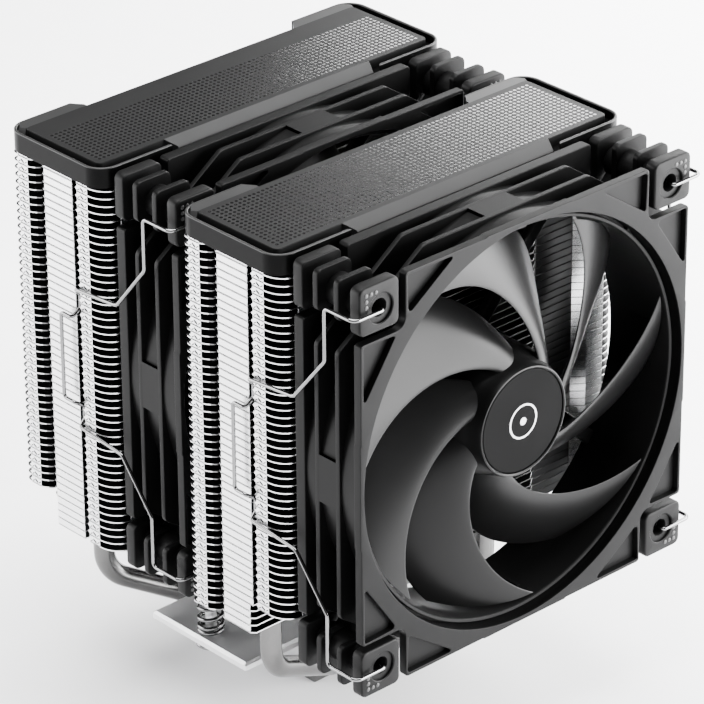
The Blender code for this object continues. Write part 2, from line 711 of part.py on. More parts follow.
def wire_clips(label, front_y, steel):
    """The left and the right clip of one fan. Each turns about the line through its two tips."""
    for side, sign in SIDES:
        upper = clip_half(sign)
        path = upper + [(x, y, -z) for x, y, z in reversed(upper)]
        clip = wire(f"{label}_fan_{side}_clip", bend_path(path, CLIP_BENDS + CLIP_BENDS[::-1], 1),
                    WIRE_R, steel)
        axis = Vector((sign * HOLE_PITCH / 2, CLIP_PAD_Y, 0))
        clip.data.transform(Matrix.Translation(-axis * MM))
        clip.location = (axis + Vector((0, front_y, FAN_AXIS_Z))) * MM
        smooth(clip, 60)


def build():
    """Make the whole cooler."""
    clear_scene()
    nickel = material("nickel", (0.74, 0.73, 0.72), 0.22, 1.0)
    aluminium = material("fin_aluminium", (0.82, 0.83, 0.84), 0.25, 1.0)
    steel = material("steel", (0.55, 0.55, 0.56), 0.3, 1.0)
    plastic = material("black_plastic", (0.03, 0.03, 0.032), 0.45, 0.0)
    finishes = {
        "steel": steel,
        "plastic": plastic,
        "blades": material("blade_plastic", (0.028, 0.028, 0.03), 0.35, 0.0),
        "rubber": material("rubber", (0.035, 0.035, 0.037), 0.6, 0.0),
        "badge": material("badge", (0.05, 0.05, 0.052), 0.4, 0.6),
        "magnet": material("magnet", (0.06, 0.055, 0.05), 0.7, 0.2),
        "copper": material("copper", (0.72, 0.35, 0.2), 0.35, 1.0),
        "board": material("circuit_board", (0.03, 0.16, 0.07), 0.5, 0.0),
        "brass": material("brass", (0.68, 0.5, 0.22), 0.35, 1.0),
    }
    base(nickel, aluminium)
    heat_pipes(nickel)
    crossbar(steel)
    for side, sign in SIDES:
        spring_screw(side, sign, steel, steel)
    fin_stack("front_fin_stack", -1, aluminium)
    fin_stack("rear_fin_stack", 1, aluminium)
    top_cover("front_top_cover", -1, plastic)
    top_cover("rear_top_cover", 1, plastic)
    front = fan("front", FRONT_FAN_Y, finishes)
    fan("middle", MIDDLE_FAN_Y, finishes, front)
    wire_clips("front", FRONT_FAN_Y, steel)
    wire_clips("middle", MIDDLE_FAN_Y, steel)


build()
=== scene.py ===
"""Looks of a twin-tower CPU air cooler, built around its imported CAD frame.

Shapes are written in millimetres in the CAD frame: X right, Y the way the air blows, Z up. A fan is
drawn facing +Z, with its front face at zero and its axis through the origin, and then stood up.
"""
import math

import bmesh
import bpy
from mathutils import Matrix, Vector

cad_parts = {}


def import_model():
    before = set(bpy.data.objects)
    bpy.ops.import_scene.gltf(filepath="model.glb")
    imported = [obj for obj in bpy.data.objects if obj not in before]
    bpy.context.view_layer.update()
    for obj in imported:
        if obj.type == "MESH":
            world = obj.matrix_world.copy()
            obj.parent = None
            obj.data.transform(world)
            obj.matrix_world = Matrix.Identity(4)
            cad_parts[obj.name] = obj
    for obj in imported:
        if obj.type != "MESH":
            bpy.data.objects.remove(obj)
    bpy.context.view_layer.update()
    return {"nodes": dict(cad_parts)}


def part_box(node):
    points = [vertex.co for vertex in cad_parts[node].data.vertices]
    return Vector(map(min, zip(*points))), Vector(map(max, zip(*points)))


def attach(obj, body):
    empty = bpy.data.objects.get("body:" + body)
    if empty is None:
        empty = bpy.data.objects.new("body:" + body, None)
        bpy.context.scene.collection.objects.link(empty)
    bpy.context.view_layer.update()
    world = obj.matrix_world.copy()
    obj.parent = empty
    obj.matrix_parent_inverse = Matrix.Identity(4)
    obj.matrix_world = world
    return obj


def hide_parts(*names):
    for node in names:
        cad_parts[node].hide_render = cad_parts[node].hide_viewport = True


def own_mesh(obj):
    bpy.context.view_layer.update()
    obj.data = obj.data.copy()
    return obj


MM = 0.001
SIDES = (("left", -1), ("right", 1))
LEVELS = (("lower", -1), ("upper", 1))

# Towers
TOWER_Y = 35.0
FIN_COUNT, FIN_PITCH, FIN_T = 50, 2.234, 0.32
FIN_BOTTOM = 43.0
SIDE_X = 61.7
FRONT_Y, FRONT_STEP_Y = -19.5, -16.7
REAR_Y, REAR_STEP_Y = 19.2, 16.1
SHORT_FINS, SHORT_FRONT = 4, -6.3
SKIRT_T, SKIRT_GAP = 0.35, 0.17
LACE_T, LACE_GAP = 0.16, 0.1
# A laced edge's tooth: how far it stands out, and heights
TOOTH = ((0.05, 0.5), (0.75, 1.0), (0.05, 1.5))
# Cuts in a laced edge: places across it as shares of its width, and heights
LACE_CUTS = (((0.32, 1.78), (0.32, 1.06), (0.64, 0.38), (0.64, 1.10)),
             ((0.05, 0.66), (0.05, 0.32), (0.27, 0.92), (0.27, 1.26)),
             ((0.70, 0.86), (0.70, 0.52), (0.94, 1.20), (0.94, 1.56)))
# Where a fin's edge is set back, and painted shade goes: inside NOTCH_X, between the steps, and in the side's
# dent
NOTCH_X, STEP_X, DENT_Y = 28.5, (32.3, 46.3), (5.0, 11.5)

# Heat pipes
PIPE_R, PIPE_PITCH, PIPE_TOP = 3.0, 6.3, 153.6
PIPE_FIN_X = (10.0, 30.0, 50.0)
COLLAR_R = 3.05

# Covers
COVER_BOTTOM, CHANNEL_Z, COVER_TOP = 154.0, 157.2, 160.0
COVER_X, COVER_Y, COVER_CORNER = 63.0, 19.7, 6.0
PLATEAU_X, PLATEAU_FRONT, PLATEAU_REAR = 59.7, -15.7, 15.3
EAR_X, RECESS_Y = 40.4, 16.3
EAR_BEND_Y, EAR_TOP_X, EAR_LOW_X = 16.5, 58.2, 59.6
RIM_W = 0.85
RAMP_TOP_X, RAMP_LOW_X, RAMP_LOW_Z = 37.2, 35.4, 158.55
DIMPLE_PITCH, DIMPLE_R, DIMPLE_DEPTH = 1.53, 0.56, 0.05
DIMPLE_FLOOR = 0.93
PLAIN_STRIP = {"front": 1.2, "rear": 7.2}

# Fans
FAN_DEPTH = 25.0
FAN_HALF, BULGE_HALF, PAD_HALF = 59.5, 59.8, 59.8
PAD_SIZE, PAD_T = 13.6, 3.6
FRAME_INNER = 44.0
HOLE_AT, HOLE_R = 52.5, 2.4
MOUTH_R, BORE_R, TUBE_R = 58.4, 56.2, 58.9
RIB_DEPTHS, RIB_T = (8.2, 16.0), 1.6
RIB_WEB_X, RIB_WEB_T = 6.9, 1.2
POCKET, POCKET_RADII = ((43.3, 58.5), (26.6, 58.5), (42.9, 47.3)), (0.9, 0.5, 0.5)
PAD_CORNER = 1.9
DOT_PITCH = 1.65
STRUT_TURN, STRUT_OFFSET = -43.2, -9.6
WIRE_R = 0.54
BLADES = 7
BLADE_ROOT_R, BLADE_TIP_R = 16.4, 55.5
BLADE_CAMBER, BLADE_T, BLADE_TIP_T = 1.5, 1.5, 0.7
BLADE_THIN, BLADE_EDGE = 0.22, 0.12
# A blade's edges as polynomials in (radius - EDGE_R) / EDGE_SPAN: angles in radians, and depths
EDGE_R, EDGE_SPAN = 21.5, 34.5
LEAD_ANGLE, LEAD_DEPTH = (1.244, 1.239, -0.73, 0.388), (5.81, 3.58, -6.37)
TRAIL_ANGLE, TRAIL_DEPTH = (0.614, 1.009, -0.404, 0.369), (11.94, 24.26, -23.03)
HUB_R = 18.4

# Base
BAR_LOW, BAR_HIGH, BAR_X, BAR_Y = 15.0, 17.5, 46.0, 19.7
SCREW_X, TIE_X = 41.2, 14.0
COIL_R, COIL_WIRE_R, COIL_LOW, COIL_HIGH = 3.35, 0.62, 18.15, 30.1
COIL_TURNS, COIL_EASE, COIL_PRESSED = 6, 0.11, 0.77

# Camera: degrees, millimetres
CAMERA_AT = (-729.3, -808.6, 661.8)
CAMERA_AZIMUTH, CAMERA_ELEVATION, CAMERA_ROLL = -42.533, 27.708, -0.398
CAMERA_LENS, CAMERA_SENSOR = 228.28, 36.0

# Places in a piece's list of finishes
# fin finishes: bright metal, then two darker copies of it that are painted shade
BRIGHT, PAINTED_SHADE, PAINTED_RECESS_SHADE = range(3)
# cover finishes: the lip copy is lighter, a painted highlight; dimple floors are darker, painted shade
BODY_PAINTED_HIGHLIGHT = 1
TOP_PAINTED_PIT_SHADE, TOP_LATTICE, TOP_PAINTED_HIGHLIGHT = 1, 2, 3
PAD_RUBBER, PAD_DOT = range(2)

# Up to this sharpness limit, in degrees, flat faces stay flat and their rounded edges take up the turn
CRISP_ANGLE = 35
# Height of the grain's relief, in metres
GRAIN_DEPTH = 0.00004


# ---------------------------------------------------------------- materials

def shader_of(name, roughness, metallic):
    """A new material and its Principled shader."""
    made = bpy.data.materials.new(name)
    made.use_nodes = True
    shader = made.node_tree.nodes["Principled BSDF"]
    shader.inputs["Roughness"].default_value = roughness
    shader.inputs["Metallic"].default_value = metallic
    return made, shader


def noise_node(nodes, links, scale, detail, stretch=(1, 1, 1)):
    """Noise in object space. Scale is in cells a metre."""
    place = nodes.new("ShaderNodeTexCoord")
    mapping = nodes.new("ShaderNodeMapping")
    mapping.inputs["Scale"].default_value = stretch
    texture = nodes.new("ShaderNodeTexNoise")
    texture.inputs["Scale"].default_value = scale
    texture.inputs["Detail"].default_value = detail
    links.new(place.outputs["Object"], mapping.inputs["Vector"])
    links.new(mapping.outputs["Vector"], texture.inputs["Vector"])
    return texture.outputs["Fac"]


def spread(nodes, links, source, low, high):
    """Map the middle of a noise to a range."""
    scale = nodes.new("ShaderNodeMapRange")
    scale.inputs["From Min"].default_value = 0.3
    scale.inputs["From Max"].default_value = 0.7
    scale.inputs["To Min"].default_value = low
    scale.inputs["To Max"].default_value = high
    links.new(source, scale.inputs["Value"])
    return scale.outputs["Result"]


def tint(nodes, links, source, dark, light):
    """Blend two colours by a noise."""
    ramp = nodes.new("ShaderNodeValToRGB")
    ramp.color_ramp.elements[0].position = 0.3
    ramp.color_ramp.elements[1].position = 0.7
    ramp.color_ramp.elements[0].color = (*dark, 1)
    ramp.color_ramp.elements[1].color = (*light, 1)
    links.new(source, ramp.inputs["Fac"])
    return ramp.outputs["Color"]


def bump(nodes, links, source, shader, strength, distance):
    """Fine relief."""
    relief = nodes.new("ShaderNodeBump")
    relief.inputs["Strength"].default_value = strength
    relief.inputs["Distance"].default_value = distance
    links.new(source, relief.inputs["Height"])
    links.new(relief.outputs["Normal"], shader.inputs["Normal"])


def surface(name, dark, light, rough, metallic=0.0, grain=4000, stretch=(1, 1, 1), relief=0.1,
            specular=0.5, coat=0.0):
    """A material with cloudy colour, uneven gloss and a fine grain."""
    made, shader = shader_of(name, rough[0], metallic)
    nodes, links = made.node_tree.nodes, made.node_tree.links
    clouds = noise_node(nodes, links, 60, 3)
    fine = noise_node(nodes, links, grain, 2, stretch)
    links.new(tint(nodes, links, clouds, dark, light), shader.inputs["Base Color"])
    links.new(spread(nodes, links, fine, *rough), shader.inputs["Roughness"])
    bump(nodes, links, fine, shader, relief, GRAIN_DEPTH)
    shader.inputs["Specular IOR Level"].default_value = specular
    shader.inputs["Coat Weight"].default_value = coat
    shader.inputs["Coat Roughness"].default_value = 0.25
    return made


def grey(value):
    """A neutral colour."""
    return (value, value, value * 1.01)


def plastic(dark, light, rough, grain, specular, relief=0.1):
    """What a moulded finish looks like."""
    return dict(dark=grey(dark), light=grey(light), rough=rough, grain=grain, specular=specular,
                relief=relief)


def metal(dark, light, rough, grain, stretch=(1, 1, 1), relief=0.1):
    """What a bare metal looks like, with a grain that may be stretched along one axis."""
    return dict(dark=dark, light=light, rough=rough, metallic=1.0, grain=grain, stretch=stretch,
                relief=relief)


def make_materials():
    """Every finish, by name."""
    looks = {
        # painted shade: the cover's walls and channel floor in a darker copy of its plastic
        "cover_plastic": plastic(0.0015, 0.002, (0.30, 0.38), 9000, 0.05),
        "cover_top": plastic(0.009, 0.011, (0.36, 0.42), 9000, 0.1),
        "lattice": plastic(0.011, 0.013, (0.36, 0.42), 9000, 0.1),
        # painted shade: a near-black, glossier copy of the cover plastic for the dimples' floors
        "dimple": plastic(0.0005, 0.001, (0.15, 0.18), 9000, 1.0),
        # painted highlight: a lighter copy of the cover plastic for rim tops, ear flats and the sloping lip
        "lip": plastic(0.014, 0.017, (0.36, 0.42), 9000, 0.3),
        "frame_plastic": plastic(0.0028, 0.004, (0.34, 0.44), 7000, 0.08),
        "blade_plastic": plastic(0.0025, 0.0035, (0.28, 0.36), 5000, 0.14, 0.06),
        "rubber": plastic(0.003, 0.004, (0.38, 0.48), 8000, 0.1, 0.2),
        "rubber_dot": plastic(0.03, 0.04, (0.4, 0.5), 8000, 0.4),
        "fin_aluminium": metal(grey(0.88), grey(0.95), (0.24, 0.34), 2500, (1, 1, 12), 0.05),
        # painted shade: a dark copy of the fin metal for the flat faces between fins
        "fin_painted_shade": metal(grey(0.05), grey(0.07), (0.35, 0.45), 2500, (1, 12, 1), 0.05),
        # painted shade: a dimmer copy of the fin metal where a fin's edge is set back
        "fin_painted_recess_shade": metal(grey(0.15), grey(0.20), (0.30, 0.40), 2500, (1, 1, 12), 0.05),
        "nickel": metal((0.11, 0.109, 0.108), (0.15, 0.148, 0.146), (0.20, 0.28), 1500, (1, 1, 6), 0.04),
        "aluminium": metal(grey(0.66), grey(0.74), (0.30, 0.40), 3000, (14, 1, 1), 0.06),
        "steel": metal(grey(0.76), grey(0.84), (0.40, 0.50), 3000, (1, 12, 1), 0.08),
        "spring_steel": metal(grey(0.12), grey(0.18), (0.16, 0.24), 4000),
        "wire_steel": metal(grey(0.17), grey(0.22), (0.10, 0.16), 4000),
        "copper": metal((0.62, 0.27, 0.14), (0.78, 0.38, 0.2), (0.25, 0.4), 2500, (1, 12, 1), 0.3),
        "brass": metal((0.62, 0.45, 0.2), (0.72, 0.54, 0.26), (0.25, 0.35), 3000, (1, 12, 1)),
        "badge": dict(dark=grey(0.002), light=grey(0.003), rough=(0.34, 0.42), grain=6000,
                      stretch=(12, 1, 1), relief=0.05, specular=0.02),
        "badge_mark": dict(dark=grey(0.62), light=grey(0.70), rough=(0.25, 0.32), metallic=0.6, grain=6000),
        "magnet": dict(dark=(0.05, 0.045, 0.04), light=(0.07, 0.065, 0.06), rough=(0.6, 0.7), metallic=0.1),
        "circuit_board": dict(dark=(0.02, 0.13, 0.05), light=(0.03, 0.18, 0.07), rough=(0.3, 0.4), coat=0.3),
    }
    return {name: surface(name, **look) for name, look in looks.items()}


# ---------------------------------------------------------------- outlines and paths

def arc(center, radius, start, end, steps):
    """Points along an arc, with angles in degrees. The radius may be a pair."""
    rx, ry = radius if isinstance(radius, tuple) else (radius, radius)
    angles = [math.radians(start + (end - start) * i / steps) for i in range(steps + 1)]
    return [(center[0] + rx * math.cos(a), center[1] + ry * math.sin(a)) for a in angles]


def circle(center, radius, steps):
    """Points around a full circle."""
    return arc(center, radius, 0, 360, steps)[:-1]


def rectangle(low, high, radius=0.0, steps=4):
    """A rectangle, counter-clockwise, with round corners where a radius is given."""
    (x0, y0), (x1, y1) = low, high
    if not radius:
        return [(x0, y0), (x1, y0), (x1, y1), (x0, y1)]
    points = arc((x1 - radius, y0 + radius), radius, -90, 0, steps)
    points += arc((x1 - radius, y1 - radius), radius, 0, 90, steps)
    points += arc((x0 + radius, y1 - radius), radius, 90, 180, steps)
    return points + arc((x0 + radius, y0 + radius), radius, 180, 270, steps)


def inset(points, distance):
    """A counter-clockwise outline moved inwards."""
    moved = []
    for before, point, after in zip(points[-1:] + points[:-1], points, points[1:] + points[:1]):
        first = Vector((point[0] - before[0], point[1] - before[1])).normalized()
        second = Vector((after[0] - point[0], after[1] - point[1])).normalized()
        n1, n2 = Vector((-first.y, first.x)), Vector((-second.y, second.x))
        push = (n1 + n2) * (distance / max(0.35, 1 + n1.dot(n2)))
        moved.append((point[0] + push.x, point[1] + push.y))
    return moved


def corner_arc(before, corner, after, radius, steps):
    """Points of the arc that rounds one corner."""
    back, ahead = (before - corner).normalized(), (after - corner).normalized()
    half = back.angle(ahead) / 2
    reach = radius / math.tan(half)
    center = corner + (back + ahead).normalized() * radius / math.sin(half)
    start, end = corner + back * reach - center, corner + ahead * reach - center
    swing = start.angle(end)
    points = []
    for i in range(steps + 1):
        share = i / steps
        turned_to = start * math.sin(swing * (1 - share)) + end * math.sin(swing * share)
        points.append(center + turned_to / math.sin(swing))
    return points


def round_corners(points, radii, steps):
    """Round every corner of a closed outline, each with its own radius."""
    points = [Vector(point) for point in points]
    rounded = []
    for before, corner, after, radius in zip(points[-1:] + points, points, points[1:] + points[:1], radii):
        rounded += [tuple(point) for point in corner_arc(before, corner, after, radius, steps)]
    return rounded


def bend_path(points, radii, steps):
    """Round each inner corner of a path with an arc of the given radius."""
    points = [Vector(point) for point in points]
    path = [points[0]]
    for before, corner, after, radius in zip(points, points[1:], points[2:], radii):
        path += corner_arc(before, corner, after, radius, steps)
    return path + [points[-1]]


# ---------------------------------------------------------------- solids, each added to a bmesh

def ring(bm, points, z):
    """A loop of vertices at one height."""
    return [bm.verts.new((x, y, z)) for x, y in points]


def bridge(bm, first, second):
    """Quads between two loops."""
    return [bm.faces.new(quad) for quad in zip(first, first[1:] + first[:1], second[1:] + second[:1], second)]


def fill(bm, loops):
    """A flat cap between an outer loop and any holes."""
    edges = []
    for loop in loops:
        for a, b in zip(loop, loop[1:] + loop[:1]):
            edges.append(bm.edges.get((a, b)) or bm.edges.new((a, b)))
    bmesh.ops.triangle_fill(bm, use_beauty=True, edges=edges)


def edge_profile(low, high, edge, low_edge, steps):
    """Insets and heights from the bottom of a slab to its top."""
    profile = []
    for i in range(steps + 1):
        turn = math.pi / 2 * i / steps
        profile.append((low_edge * (1 - math.sin(turn)), low + low_edge * (1 - math.cos(turn))))
    for i in range(steps + 1):
        turn = math.pi / 2 * i / steps
        profile.append((edge * (1 - math.cos(turn)), high - edge * (1 - math.sin(turn))))
    return profile


def slab(bm, outline, low, high, holes=(), bores=(), edge=0.3, low_edge=None, steps=2):
    """A plate with softened edges. Holes are outlines; bores are (centre, [(radius, z), ...], sides)."""
    first = len(bm.verts)
    low_edge = edge if low_edge is None else low_edge
    profile = edge_profile(low, high, edge, low_edge, steps) if edge or low_edge else [(0, low), (0, high)]
    loops = []
    for points, sign in [(outline, 1)] + [(hole, -1) for hole in holes]:
        rings = [ring(bm, inset(points, sign * amount), z) for amount, z in profile]
        for a, b in zip(rings, rings[1:]):
            bridge(bm, a, b)
        loops.append((rings[0], rings[-1]))
    for center, steps_down, sides in bores:
        rings = [ring(bm, circle(center, radius, sides), z) for radius, z in steps_down]
        for a, b in zip(rings, rings[1:]):
            bridge(bm, a, b)
        loops.append((rings[-1], rings[0]))
    fill(bm, [loop[0] for loop in loops])
    fill(bm, [loop[1] for loop in loops])
    bm.verts.ensure_lookup_table()
    return bm.verts[first:]


def turned(bm, profile, sides, closed=True, center=(0, 0)):
    """A profile of (radius, z) points turned about Z. A closed one joins its last point to its first."""
    first = len(bm.verts)
    loops = []
    for radius, z in profile:
        if radius <= 0:
            loops.append([bm.verts.new((center[0], center[1], z))] * sides)
        else:
            loops.append(ring(bm, circle(center, radius, sides), z))
    pairs = list(zip(loops, loops[1:]))
    if closed:
        pairs.append((loops[-1], loops[0]))
    for one, two in pairs:
        for i in range(sides):
            corners = []
            for vert in (one[i], one[(i + 1) % sides], two[(i + 1) % sides], two[i]):
                if vert not in corners:
                    corners.append(vert)
            if len(corners) > 2:
                bm.faces.new(corners)
    bm.verts.ensure_lookup_table()
    return bm.verts[first:]


def sweep(bm, path, radius, sides, cap_steps=3):
    """A round wire along a path, with domed ends."""
    path = [Vector(point) for point in path]
    tangents = []
    for i, point in enumerate(path):
        before, after = path[max(i - 1, 0)], path[min(i + 1, len(path) - 1)]
        tangents.append((after - before).normalized())
    normal = tangents[0].orthogonal().normalized()
    # each station is a centre, a direction and a radius, from one domed end to the other
    turns = [math.pi / 2 * (i + 0.35) / cap_steps for i in range(cap_steps)]
    stations = [(path[0] - tangents[0] * radius * math.cos(turn), tangents[0], radius * math.sin(turn))
                for turn in turns]
    stations += [(point, tangent, radius) for point, tangent in zip(path, tangents)]
    stations += [(path[-1] + tangents[-1] * radius * math.cos(turn), tangents[-1], radius * math.sin(turn))
                 for turn in reversed(turns)]
    loops = []
    for point, tangent, size in stations:
        normal = (normal - tangent * normal.dot(tangent)).normalized()
        across = tangent.cross(normal)
        loops.append([bm.verts.new(point + (normal * math.cos(a) + across * math.sin(a)) * size)
                      for a in (2 * math.pi * k / sides for k in range(sides))])
    for a, b in zip(loops, loops[1:]):
        bridge(bm, a, b)
    bm.faces.new(loops[0])
    bm.faces.new(loops[-1])


def transform(bm, verts, matrix):
    """Move some vertices."""
    bmesh.ops.transform(bm, matrix=matrix, verts=verts)


def piece(name, bm, finish, body, replaced=(), angle=32.0, matrix=None):
    """Turn a bmesh in millimetres into a finished piece that rides on a body."""
    bmesh.ops.recalc_face_normals(bm, faces=bm.faces)
    if matrix:
        transform(bm, bm.verts, matrix)
    bmesh.ops.scale(bm, vec=(MM, MM, MM), verts=bm.verts)
    mesh = bpy.data.meshes.new(name)
    bm.to_mesh(mesh)
    bm.free()
    for each in finish if isinstance(finish, tuple) else (finish,):
        mesh.materials.append(each)
    mesh.shade_smooth()
    mesh.set_sharp_from_angle(angle=math.radians(angle))
    made = bpy.data.objects.new(name, mesh)
    bpy.context.scene.collection.objects.link(made)
    if angle <= CRISP_ANGLE:
        even = made.modifiers.new("even_faces", "WEIGHTED_NORMAL")
        even.keep_sharp = True
        even.weight = 100
    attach(made, body)
    if replaced:
        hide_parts(*replaced)
    return made


# ---------------------------------------------------------------- fins

def fin_half():
    """Right half of a fin's outline, from the middle of the front to the middle of the rear."""
    front = [(28.8, -19.2), (32.0, FRONT_STEP_Y), (46.2, FRONT_STEP_Y), (49.4, FRONT_Y)]
    corner = arc((56.0, -12.9), (SIDE_X - 56.0, 6.6), -90, 0, 8)
    groove = [(SIDE_X, -8.4), (60.2, -8.4), (59.9, -8.0), (59.9, -6.8), (60.2, -6.4), (SIDE_X, -6.4)]
    dent = [(SIDE_X, 5.4), (61.5, 5.9), (61.2, 6.5), (60.5, 7.1), (57.3, 7.4), (57.3, 8.6), (59.8, 9.3),
            (60.6, 10.2), (61.3, 11.2), (SIDE_X, 12.2)]
    rear = arc((SIDE_X - 2.2, 17.0), 2.2, 0, 90, 4) + [(41.5, REAR_Y), (38.6, REAR_STEP_Y)]
    return front + corner + groove + dent + rear


def fin_outline(short):
    """A fin's whole outline. A short one has lost its front (short is -1) or its rear (short is 1)."""
    half = fin_half()
    if short < 0:
        start = [(0.0, SHORT_FRONT), (SIDE_X - 1.2, SHORT_FRONT), (SIDE_X, SHORT_FRONT + 1.2)]
        half = start + [point for point in half if point[1] > SHORT_FRONT + 1.3]
    if short > 0:
        end = [(SIDE_X, -SHORT_FRONT - 1.2), (SIDE_X - 1.2, -SHORT_FRONT), (0.0, -SHORT_FRONT)]
        half = [point for point in half if point[1] < -SHORT_FRONT - 1.3] + end
    return half + [(-x, y) for x, y in reversed(half) if x > 0]


def wall_matrix(origin, along):
    """Lays a drawing with X along an upright wall, Y up it and Z out of it."""
    along, up = Vector(along), Vector((0, 0, 1))
    out = along.cross(up)
    return Matrix((
        (along.x, up.x, out.x, origin[0]), (along.y, up.y, out.y, origin[1]),
        (along.z, up.z, out.z, origin[2]), (0, 0, 0, 1)))


def plain_skirt(bm, start, end, along, origin):
    """A folded edge that closes the gap up to the next fin."""
    verts = slab(bm, rectangle((start, 0), (end, FIN_PITCH - SKIRT_GAP)), -SKIRT_T, 0, edge=0.06, steps=1)
    transform(bm, verts, wall_matrix(origin, along))


def laced_skirt(bm, start, end, along, origin, teeth):
    """A folded edge with slanted cuts, and a tooth at its end, or at its start where teeth is -1."""
    width, top = end - start, FIN_PITCH - LACE_GAP
    outline = [(start, 0), (end, 0)]
    if teeth > 0:
        outline += [(end + out, y) for out, y in TOOTH]
    outline += [(end, top), (start, top)]
    if teeth < 0:
        outline += [(start - out, y) for out, y in reversed(TOOTH)]
    holes = [[(start + width * x, y) for x, y in cut] for cut in LACE_CUTS]
    verts = slab(bm, outline, -LACE_T, 0, holes=holes, edge=0.02, steps=1)
    transform(bm, verts, wall_matrix(origin, along))


def slanted_skirts(bm):
    """The slanted folded edges beside the steps of a fin's front."""
    for sign in (-1, 1):
        ends = [Vector((sign * 46.15, FRONT_STEP_Y, 0)), Vector((sign * 49.45, FRONT_Y, 0))]
        ends = ends if sign > 0 else ends[::-1]
        along = (ends[1] - ends[0]).normalized()
        plain_skirt(bm, 0, (ends[1] - ends[0]).length, along, ends[0])


def fin_mesh(short):
    """One fin: a pierced plate with folded edges on all four sides."""
    bm = bmesh.new()
    bores = [((sign * x, 0), [(COLLAR_R, FIN_T), (COLLAR_R, 0)], 16) for x in PIPE_FIN_X for sign in (-1, 1)]
    slab(bm, fin_outline(short), 0, FIN_T, bores=bores, edge=0)
    for sign in (-1, 1):
        along = (0, sign, 0)
        origin = (sign * SIDE_X, 0, 0)
        # on the left wall the drawing runs towards the front, so its spans change sign
        spans = {"front": (-12.7, -8.5), "middle": (-6.3, 5.3), "rear": (12.2, 16.2)}
        if short < 0:
            spans["front"] = None
            spans["middle"] = (SHORT_FRONT + 1.3, 5.3)
        if short > 0:
            spans["rear"] = None
        for part, span in spans.items():
            if span is None:
                continue
            start, end = sorted(value * sign for value in span)
            if part == "middle":
                plain_skirt(bm, start, end, along, origin)
            else:
                laced_skirt(bm, start, end, along, origin, sign)
    bands = []
    if short >= 0:
        bands += [(-1, FRONT_STEP_Y, 32.3, 46.1), (-1, FRONT_Y, 49.5, 55.8)]
    if short <= 0:
        bands += [(1, REAR_Y, 42.0, 59.0), (1, REAR_STEP_Y, 12.0, 38.0)]
    for facing, y, inner, outer in bands:
        for sign in (-1, 1):
            low, high = sorted((sign * inner, sign * outer))
            start, end = (low, high) if facing < 0 else (-high, -low)
            plain_skirt(bm, start, end, (-facing, 0, 0), (0, y, 0))
    if short >= 0:
        slanted_skirts(bm)
    bmesh.ops.recalc_face_normals(bm, faces=bm.faces)
    mesh = bpy.data.meshes.new("fin")
    bm.to_mesh(mesh)
    bm.free()
    return mesh


def fin_finish(face, sign):
    """Bright edges; painted shade on the flat faces, and a darker metal, also painted shade, where a fin's
    edge is set back.
    """
    middle = face.calc_center_median()
    x, y = abs(middle.x), middle.y - sign * TOWER_Y
    # flat faces between fins take painted shade
    if abs(face.normal.z) > 0.9:
        return PAINTED_SHADE
    # set-back edges take a dimmer metal: painted shade
    in_dent = x < SIDE_X - 1.2 and DENT_Y[0] < y < DENT_Y[1]
    return PAINTED_RECESS_SHADE if in_dent or x < NOTCH_X or STEP_X[0] < x < STEP_X[1] else BRIGHT


def fins(tower, sign, finish):
    """A tower's fins. The lowest ones are short on the tower's outer side."""
    full, short = fin_mesh(0), fin_mesh(sign)
    bm = bmesh.new()
    for index in range(FIN_COUNT):
        first = len(bm.verts)
        bm.from_mesh(short if index < SHORT_FINS else full)
        bm.verts.ensure_lookup_table()
        move = Matrix.Translation((0, sign * TOWER_Y, FIN_BOTTOM + index * FIN_PITCH))
        transform(bm, bm.verts[first:], move)
    bm.normal_update()
    for face in bm.faces:
        face.material_index = fin_finish(face, sign)
    piece(f"{tower}_fins", bm, finish, "cooler", (f"{tower}_fin_stack",), 40)


# ---------------------------------------------------------------- covers

def cover_outline():
    """Round outer corners, ears at the rear and a recessed middle between them."""
    points = [(-EAR_X + 2.4, RECESS_Y), (-EAR_X, COVER_Y)]
    points += arc((-COVER_X + COVER_CORNER, COVER_Y - COVER_CORNER), COVER_CORNER, 90, 180, 8)
    points += arc((-COVER_X + COVER_CORNER, -COVER_Y + COVER_CORNER), COVER_CORNER, 180, 270, 8)
    return points + [(-x, y) for x, y in reversed(points)]


def ear_rim(sign):
    """The wall round one end of a cover: two ears and the side between them, as a closed outline."""
    outer = [(EAR_X, COVER_Y)]
    outer += list(reversed(arc((COVER_X - COVER_CORNER, COVER_Y - COVER_CORNER), COVER_CORNER, 0, 90, 10)))
    outer += list(reversed(arc((COVER_X - COVER_CORNER, -COVER_Y + COVER_CORNER), COVER_CORNER, -90, 0, 10)))
    outer += [(RAMP_LOW_X + 2.2, -COVER_Y)]
    x, y, radius = COVER_X - RIM_W, COVER_Y - RIM_W, COVER_CORNER - RIM_W
    inner = [(RAMP_LOW_X + 2.9, -y)]
    inner += arc((x - radius, -y + radius), radius, -90, 0, 10)
    inner += arc((x - radius, y - radius), radius, 0, 90, 10)
    inner += [(EAR_X - 0.64, y)]
    placed = [(sign * px, py) for px, py in outer + inner]
    return placed if sign < 0 else placed[::-1]


